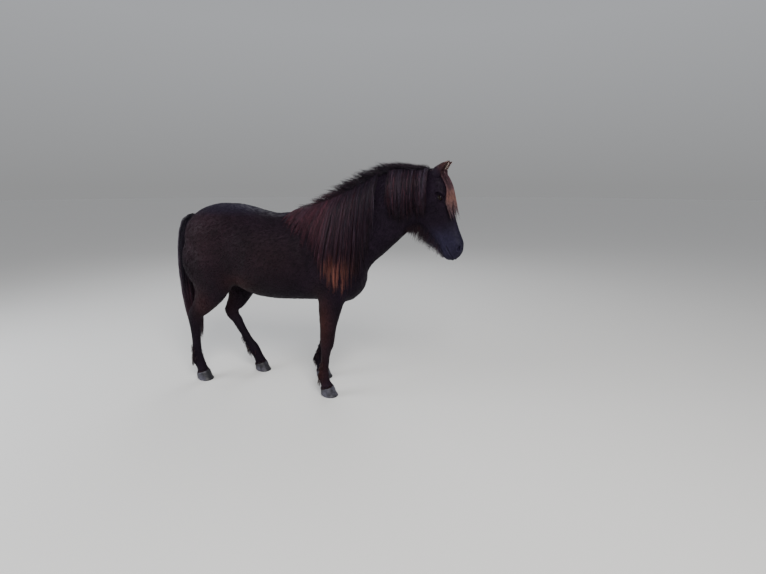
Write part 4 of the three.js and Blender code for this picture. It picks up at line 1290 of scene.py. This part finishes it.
# Feather: hair behind each fetlock, and the fringe that covers the top of the hoof
def feather_locks(leg):
    joints, sides = {**FORE_LEGS, **HIND_LEGS}[leg]
    side = sides[-2] if leg in FORE_LEGS else HIND_FETLOCK_SIDE * sides
    upper, joint = np.array(joints[-3:-1], float)
    coronet = np.array(LEG_ROWS[leg][-1])
    coronet = (coronet[0:2] + coronet[2:4]) / 2

    def locks(rng):
        for _ in range(FEATHER_LOCKS):
            rise = rng.uniform(-26, 130)
            turn = rng.normal(0, 0.75)
            x, z = joint + unit(upper - joint) * rise
            out = np.array([-math.cos(turn), math.sin(turn), 0.0])
            place, _ = hit(np.array([x, side, z]) + out * 200, -out)
            if place is not None:
                hang = rng.uniform(30, 58) * (0.7 if rise > 60 else 1.0)
                yield bowed(place - out * 3, out * rng.uniform(8, 17), 2.0, (0, 0, -hang), 1.3, 6), out, 0
        for turn in np.linspace(0, 2 * np.pi, FRINGE_LOCKS, endpoint=False):
            rise = rng.uniform(3, 15)
            out = np.array([math.cos(turn), math.sin(turn), 0.0])
            start = np.array([coronet[0], side, coronet[1] + rise + CORONET_RISE * out[0]])
            place, _ = hit(start + out * 120, -out)
            if place is not None:
                fall = (0, 0, -rng.uniform(19, 31))
                yield bowed(place - out * 2, out * 9, 1.7, fall, 1.2, 6), out, 0

    return locks


def feather_tint(rng, path, t, *_):
    colour = coat_colour_and_sheen(path[:, 0])[:, None]
    colour = toward(colour, RUST * 1.3, rng.uniform(0, 0.8, (len(path), 1)) * t)
    return colour * rng.uniform(0.7, 1.3, (len(path), 1, 1))


FEATHER_PARTS = (feather_tint, counted(6) + 1, (6, 0.6, (0.7, 1.0), 1.5, 0.7), (0.9, 1.7), SHORT_STRAND)
for leg_seed, leg_name in enumerate(LEG_ROWS, 51):
    hair_piece("feather_" + leg_name, leg_seed, feather_locks(leg_name), *FEATHER_PARTS)


# x and z of the line that the tips of the beard reach, from the throat to the chin
BEARD_EDGE = [[515, 1190], [535, 1196], [588, 1160], [640, 1112], [680, 1092], [717, 1080]]
BEARD_EDGE = np.array(BEARD_EDGE + [[773, 1042], [792, 1042]], float)
BEARD_LOCKS = 1100


# Beard: hair that hangs from the throat and the jaw
def beard_locks(rng):
    for _ in range(counted(BEARD_LOCKS)):
        x = rng.uniform(*BEARD_EDGE[[0, -1], 0])
        aside = np.clip(rng.normal(0, 18), -38, 38)
        place, _ = hit((x, sway(x) + aside, 900), (0, 0, 1))
        edge = np.interp(x, *BEARD_EDGE.T)
        if place is None or place[2] > edge + 150:
            continue
        long = max(place[2] - edge, 8) * rng.uniform(0.3, 1.06) + 8
        side = np.sign(aside)
        fall = np.array([rng.normal(-0.2, 0.13), rng.normal(0.1 * side, 0.12), -1.0]) * long
        bow = np.array([rng.normal(-0.5, 0.3), rng.normal(0.5 * side, 0.3), 0.0])
        start = place + np.array([0.05 * long, 0, 5])
        yield bowed(start, bow * 7, 2.2, fall, 1.1, 7), (-0.6, 0.8 * side, 0.0), 0


def beard_tint(rng, path, t, *_):
    colour = coat_colour_and_sheen(path[:, 0])[:, None] * rng.uniform(0.8, 1.4, (len(path), 1, 1))
    return toward(colour, RUST, rng.uniform(0, 0.9, (len(path), 1)) ** 2 * t)


BEARD_LAY = (5, 0.3, (0.6, 1.0), 2.5, 0.8)
hair_piece("beard", 61, beard_locks, beard_tint, 2, BEARD_LAY, (0.7, 1.4), SHORT_STRAND)


# The way the coat lies at a place, before it is laid flat on the skin
def lie_of(p):
    down, out, _ = from_head(p)
    x, z = p[:, 0], p[:, 2]
    ways = [
        ((-0.12, 0.0, -1.0), smoothstep(860, 640, z)),
        ((-0.25, 0.0, -1.0), smoothstep(-880, -1080, x) * smoothstep(1330, 1180, z)),
        ((-0.62, 0.0, -0.9), smoothstep(60, 260, x) * (z > 800)),
        ((DOWN_FACE[0] - 0.25, 0.0, DOWN_FACE[1]), (down > 10) & (out > -235) & (x > 640)),
    ]
    lie = np.broadcast_to([-1.0, 0.0, -0.42], p.shape)
    for way, share in ways:
        lie = toward(lie, np.array(way), share * 1.0)
    return unit(lie)


def tuft_length(p):
    down, out, _ = from_head(p)
    length = lerp(27.0, 17.0, smoothstep(800, 500, p[:, 2]))
    belly = smoothstep(740, 700, p[:, 2]) * (np.abs(p[:, 1]) < 120) * (p[:, 2] > 680)
    head = (down > 0) & (out > -240) & (p[:, 0] > 600)
    return np.where(head, lerp(15.0, 7.0, smoothstep(60, 520, down)), lerp(length, 34.0, belly))


def bare_of_tufts(p):
    down, out, aside = from_head(p)
    eye = (np.hypot((down - EYE_DOWN) / 24, (out - EYE_OUT) / 17) < 1.1) & (np.abs(aside) > 45)
    nose = np.hypot(down - 518, (out - 20) * 1.3) < 20
    lips = (mouth_gap(down, out)[0] < 7) & (down > 475)
    return (down > 0) & (p[:, 2] > HEAD_LEVEL) & (p[:, 0] > 600) & (eye | nose | lips)


LEG_TUFT_SHARE = 1.5
HEAD_TUFT_SHARE = 4.0
EAR_TUFT_LENGTH = 7.0
TUFTS_TO_A_PIECE = 17000
# How far along its length, how high, how wide and how bright a tuft is at each of its points
TUFT_STEPS = np.array([-0.06, 0.45, 1.0])
TUFT_RISES = np.array([-0.55, 1.0, 0.55])
TUFT_WIDTHS = np.array([0.75, 1.0, 0.1])
TUFT_TONES = np.array([1.0, 1.15, 1.35])


# The short coat: tufts strewn over the skin's faces, each on its own spot
def coat_piece(name, seed, count):
    rng = np.random.default_rng(seed)
    ends = four_corners(skin_corners, skin_totals)
    a, b, c, d = skin_points[ends]
    area = np.linalg.norm(np.cross(b - a, c - a), axis=1) / 2
    area += np.where(skin_totals == 4, np.linalg.norm(np.cross(c - a, d - a), axis=1) / 2, 0)
    centre = (a + b + c + d) / 4
    weight = area * np.where(centre[:, 2] < 620, LEG_TUFT_SHARE, 1.0)
    weight *= np.where((centre[:, 0] > 600) & (centre[:, 2] > HEAD_LEVEL), HEAD_TUFT_SHARE, 1.0)
    on_ear = ends[0] >= body_count
    lining = on_ear & ((ends[0] - body_count) % (2 * EAR_ROUND) >= EAR_ROUND - 1)
    weight[bare_of_tufts(centre) | lining] = 0
    face = rng.choice(len(area), count, p=weight / weight.sum())
    u, v = rng.uniform(0, 1, (2, count, 1))
    a, b, c, d = (corner[face] for corner in (a, b, c, d))
    over = u + v > 1
    on_three = a + (b - a) * np.where(over, 1 - u, u) + (c - a) * np.where(over, 1 - v, v)
    place = np.where((skin_totals[face] == 3)[:, None], on_three, lerp(lerp(a, b, u), lerp(d, c, u), v))
    normal = unit(skin_normals[ends[:3, face]].sum(axis=0))
    lie = lie_of(place) + rng.normal(0, 0.13, (count, 3))
    lie = unit(lie - normal * np.einsum("ij,ij->i", lie, normal)[:, None])
    ear = on_ear[face]
    left = (from_head(place)[2] > 0)[:, None]
    up_ear = np.where(left, ear_frame(1)[1], ear_frame(-1)[1]) + rng.normal(0, 0.1, (count, 3))
    lie = np.where(ear[:, None], unit(up_ear), lie)
    long = np.where(ear, EAR_TUFT_LENGTH, tuft_length(place)) * rng.uniform(0.75, 1.25, count)
    lift = np.minimum(long * 0.06, 1.6) * rng.uniform(0.6, 1.3, count)
    centres = place[:, None] + lie[:, None] * (long[:, None] * TUFT_STEPS)[..., None]
    centres = centres + normal[:, None] * (lift[:, None] * TUFT_RISES)[..., None]
    base = np.where(ear[:, None], ear_back_colour(place), coat_colour_and_sheen(place))
    tone = base[:, None] * TUFT_TONES[:, None] * rng.uniform(0.8, 1.25, (count, 1, 1))
    wide = (long * 0.036 + 0.3)[:, None] * TUFT_WIDTHS
    return tubes(name, centres, np.repeat(normal[:, None], 3, axis=1), wide, 0.45, tone, place)


for number in (1, 2, 3):
    tufts = coat_piece(f"coat_tufts_{number}", 70 + number, counted(TUFTS_TO_A_PIECE))
    finish_piece(tufts, FUR, "coat")


EAR_LOCKS = 260


# Hair that fills the cup of each ear and edges its rim, dark along the rim's outer side
def ear_locks(side):
    def locks(rng):
        _, along, _, opening, across = ear_frame(side)
        t = np.linspace(0, 1, 5)[:, None]
        for _ in range(EAR_LOCKS):
            at = rng.uniform(0.05, 0.93)
            rim = rng.uniform() < 0.65
            turn = rng.choice([-1, 1]) * row_at(EAR_ROWS, at)[3]
            turn *= rng.uniform(0.86, 0.99) if rim else rng.uniform(0, 0.9)
            start = ear_point(side, at, turn, 3.5)
            inward = unit(ear_point(side, at, 0.0, 0) + opening * 16 - start)
            way = unit(along * 0.95 + opening * 0.28 + inward * 0.22 + rng.normal(0, 0.07, 3))
            path = start + way * t * rng.uniform(14, 26) * (1 - 0.45 * at) - way * 2
            yield path, opening, float(rim and turn * across[1] * side > 0)

    return locks


def ear_tint(rng, path, t, dark, per):
    colour = toward(EAR_HAIR, EAR_BACK * 1.5, np.repeat(dark, per)[:, None] * np.ones(len(t)))
    return colour * rng.uniform(0.5, 1.15, (len(path), 1, 1))


EAR_PARTS = (ear_tint, counted(6) + 1, (3.6, 0.4, (0.6, 1.0), 0.8, 0.8), (0.45, 0.8), EAR_STRAND)
hair_piece("ear_hair_left", 81, ear_locks(1), *EAR_PARTS)
hair_piece("ear_hair_right", 82, ear_locks(-1), *EAR_PARTS)


GROWTH_RINGS = 6.5
RING_HEIGHT = 0.7


# Hooves with growth rings, worn a little at the ground
def hoof_piece(name):
    row = LEG_ROWS[name][-1]
    away = np.array([ALONG_CORONET[1], -ALONG_CORONET[0]]) * 0.35
    toe, heel = np.array(row[0:2]) + away, np.array(row[2:4]) + away
    last = toe[0] + 37
    back = last - HOOF_LENGTH
    half = HOOF_WIDTH / 2
    rows = [
        [*toe, *heel, 46],
        [*(toe + [5, -8]), *(heel + [-3, -5]), 49.5],
        [toe[0] + 24, 22, heel[0] - 2, 12, half - 2],
        [last - 1.5, 2.5, back + 1.5, 2.5, half - 0.6],
        [last - 2.5, 0, back + 2.5, 0, half - 2.2],
    ]
    knots = (0, 0.16, 0.72, 0.97, 1.0)
    stations = [[knot, *ends, row[4], wide, 0.55, 2, 2.6] for knot, (*ends, wide) in zip(knots, rows)]
    fine = np.concatenate([np.linspace(0, 0.97, 34), [0.985, 1.0]])
    table = np.stack(row_at(stations, fine), axis=1)
    fade = np.sin(np.pi * np.clip(fine / 0.97, 0, 1))
    ripple = RING_HEIGHT * np.sin(fine * 2 * np.pi * GROWTH_RINGS) * fade
    rings = [ring_points([r], 64, -out)[0] for r, out in zip(table, ripple)]
    points, faces = skin_over(np.array(rings))
    points[:, 2] = np.maximum(points[:, 2], 0)
    return triangles_object("hoof_" + name + "_horn", points, faces)


for leg_name in LEG_ROWS:
    finish_piece(hoof_piece(leg_name), HORN, "horn", "hoof_" + leg_name)

CORNEA_BULGE = 1.1
IRIS = np.array([0.0065, 0.0032, 0.0024])
PUPIL = np.array([0.0015, 0.0015, 0.0022])
EYE_RIM = np.array([0.003, 0.0025, 0.0028])
EYE_WHITE = np.array([0.012, 0.009, 0.008])


# Eyes: a ball whose cornea bulges, with a dark iris and a long pupil
def eye_piece(name, side):
    centre = head_place(EYE_DOWN, EYE_OUT, side * EYE_SIDE)
    axis = unit(np.array([0.30, side * 1.0, -0.02]))
    up = unit(np.array([0.0, 0.0, 1.0]) - axis * axis[2])
    a = np.linspace(0.02, math.pi - 0.02, 56)[:, None]
    turn = np.linspace(0, 2 * np.pi, 64, endpoint=False)
    u, v = np.cos(turn) * np.sin(a), np.sin(turn) * np.sin(a)
    radius = (EYE_RADIUS + CORNEA_BULGE * np.exp(-((a / 0.5) ** 4)))[..., None]
    ahead = np.multiply.outer(np.cos(a) * np.ones(64), axis)
    aside = np.multiply.outer(u, np.cross(up, axis))
    rings = centre + radius * (ahead + aside + np.multiply.outer(v, up))
    edge = np.where(a < 1.57, np.sin(a), 1.0) * np.ones(64)
    colour = toward(IRIS, PUPIL, 1 - smoothstep(0.8, 1.1, np.hypot(u / 0.34, v / 0.17)))
    colour = toward(colour, EYE_RIM, smoothstep(0.66, 0.74, edge))
    colour = toward(colour, EYE_WHITE, smoothstep(0.84, 0.93, edge))
    points, faces = skin_over(rings)
    tints = np.concatenate([colour.reshape(-1, 3), colour[0, :1], colour[-1, :1]])
    return triangles_object(name, points, faces, tints)


finish_piece(eye_piece("eyeball_left", 1), EYE, "eye", "eye_left")
finish_piece(eye_piece("eyeball_right", -1), EYE, "eye", "eye_right")


# Floor, light and camera
def lamp(name, place, target, size, power, colour):
    data = bpy.data.lights.new(name, "AREA")
    data.shape = "DISK"
    data.size = size
    data.energy = power
    data.color = colour
    made = bpy.data.objects.new(name, data)
    made.location = place
    made.rotation_euler = (Vector(target) - Vector(place)).to_track_quat("-Z", "Y").to_euler()
    bpy.context.scene.collection.objects.link(made)


FLOOR_RADIUS = 60.0
bpy.ops.mesh.primitive_circle_add(vertices=96, radius=FLOOR_RADIUS, fill_type="NGON")
disc = bpy.context.object
disc.name = "studio_floor"
disc.data.materials.append(material("studio_floor", floor_look))
lamp("key", (2.6, -4.2, 4.6), (0.0, 0.0, 0.9), 3.2, 420, (1.0, 0.985, 0.96))
lamp("fill", (-4.2, -2.2, 2.6), (0.0, 0.0, 0.8), 3.0, 150, (0.90, 0.94, 1.0))
lamp("rim", (-1.5, 4.2, 4.4), (0.2, 0.0, 1.2), 3.0, 85, (0.92, 0.95, 1.0))
world = bpy.data.worlds.new("studio")
world.use_nodes = True
sky = world.node_tree
direction = node(sky, "TexCoord", {}).outputs["Generated"]
height = node(sky, "SeparateXYZ", {"Vector": direction}).outputs["Z"]
fade = ramp(sky, height, 0.0, (0.62, 0.625, 0.635), 0.3, (0.86, 0.88, 0.92))
feed(sky, sky.nodes["Background"], {"Color": fade, "Strength": 0.5})
bpy.context.scene.world = world

CAMERA_PLACE = (1.319, -2.856, 1.5)
CAMERA_PITCH = math.radians(13.2)
CAMERA_AZIMUTH = math.radians(15.0)
FOCAL_PIXELS = 431.0
IMAGE_WIDTH = 766.0
SENSOR = 36.0
lens = bpy.data.cameras.new("camera")
lens.sensor_fit = "HORIZONTAL"
lens.sensor_width = SENSOR
lens.lens = FOCAL_PIXELS / IMAGE_WIDTH * SENSOR
camera = bpy.data.objects.new("camera", lens)
camera.location = CAMERA_PLACE
camera.rotation_euler = (math.radians(90) - CAMERA_PITCH, 0, CAMERA_AZIMUTH)
bpy.context.scene.collection.objects.link(camera)
bpy.context.scene.camera = camera
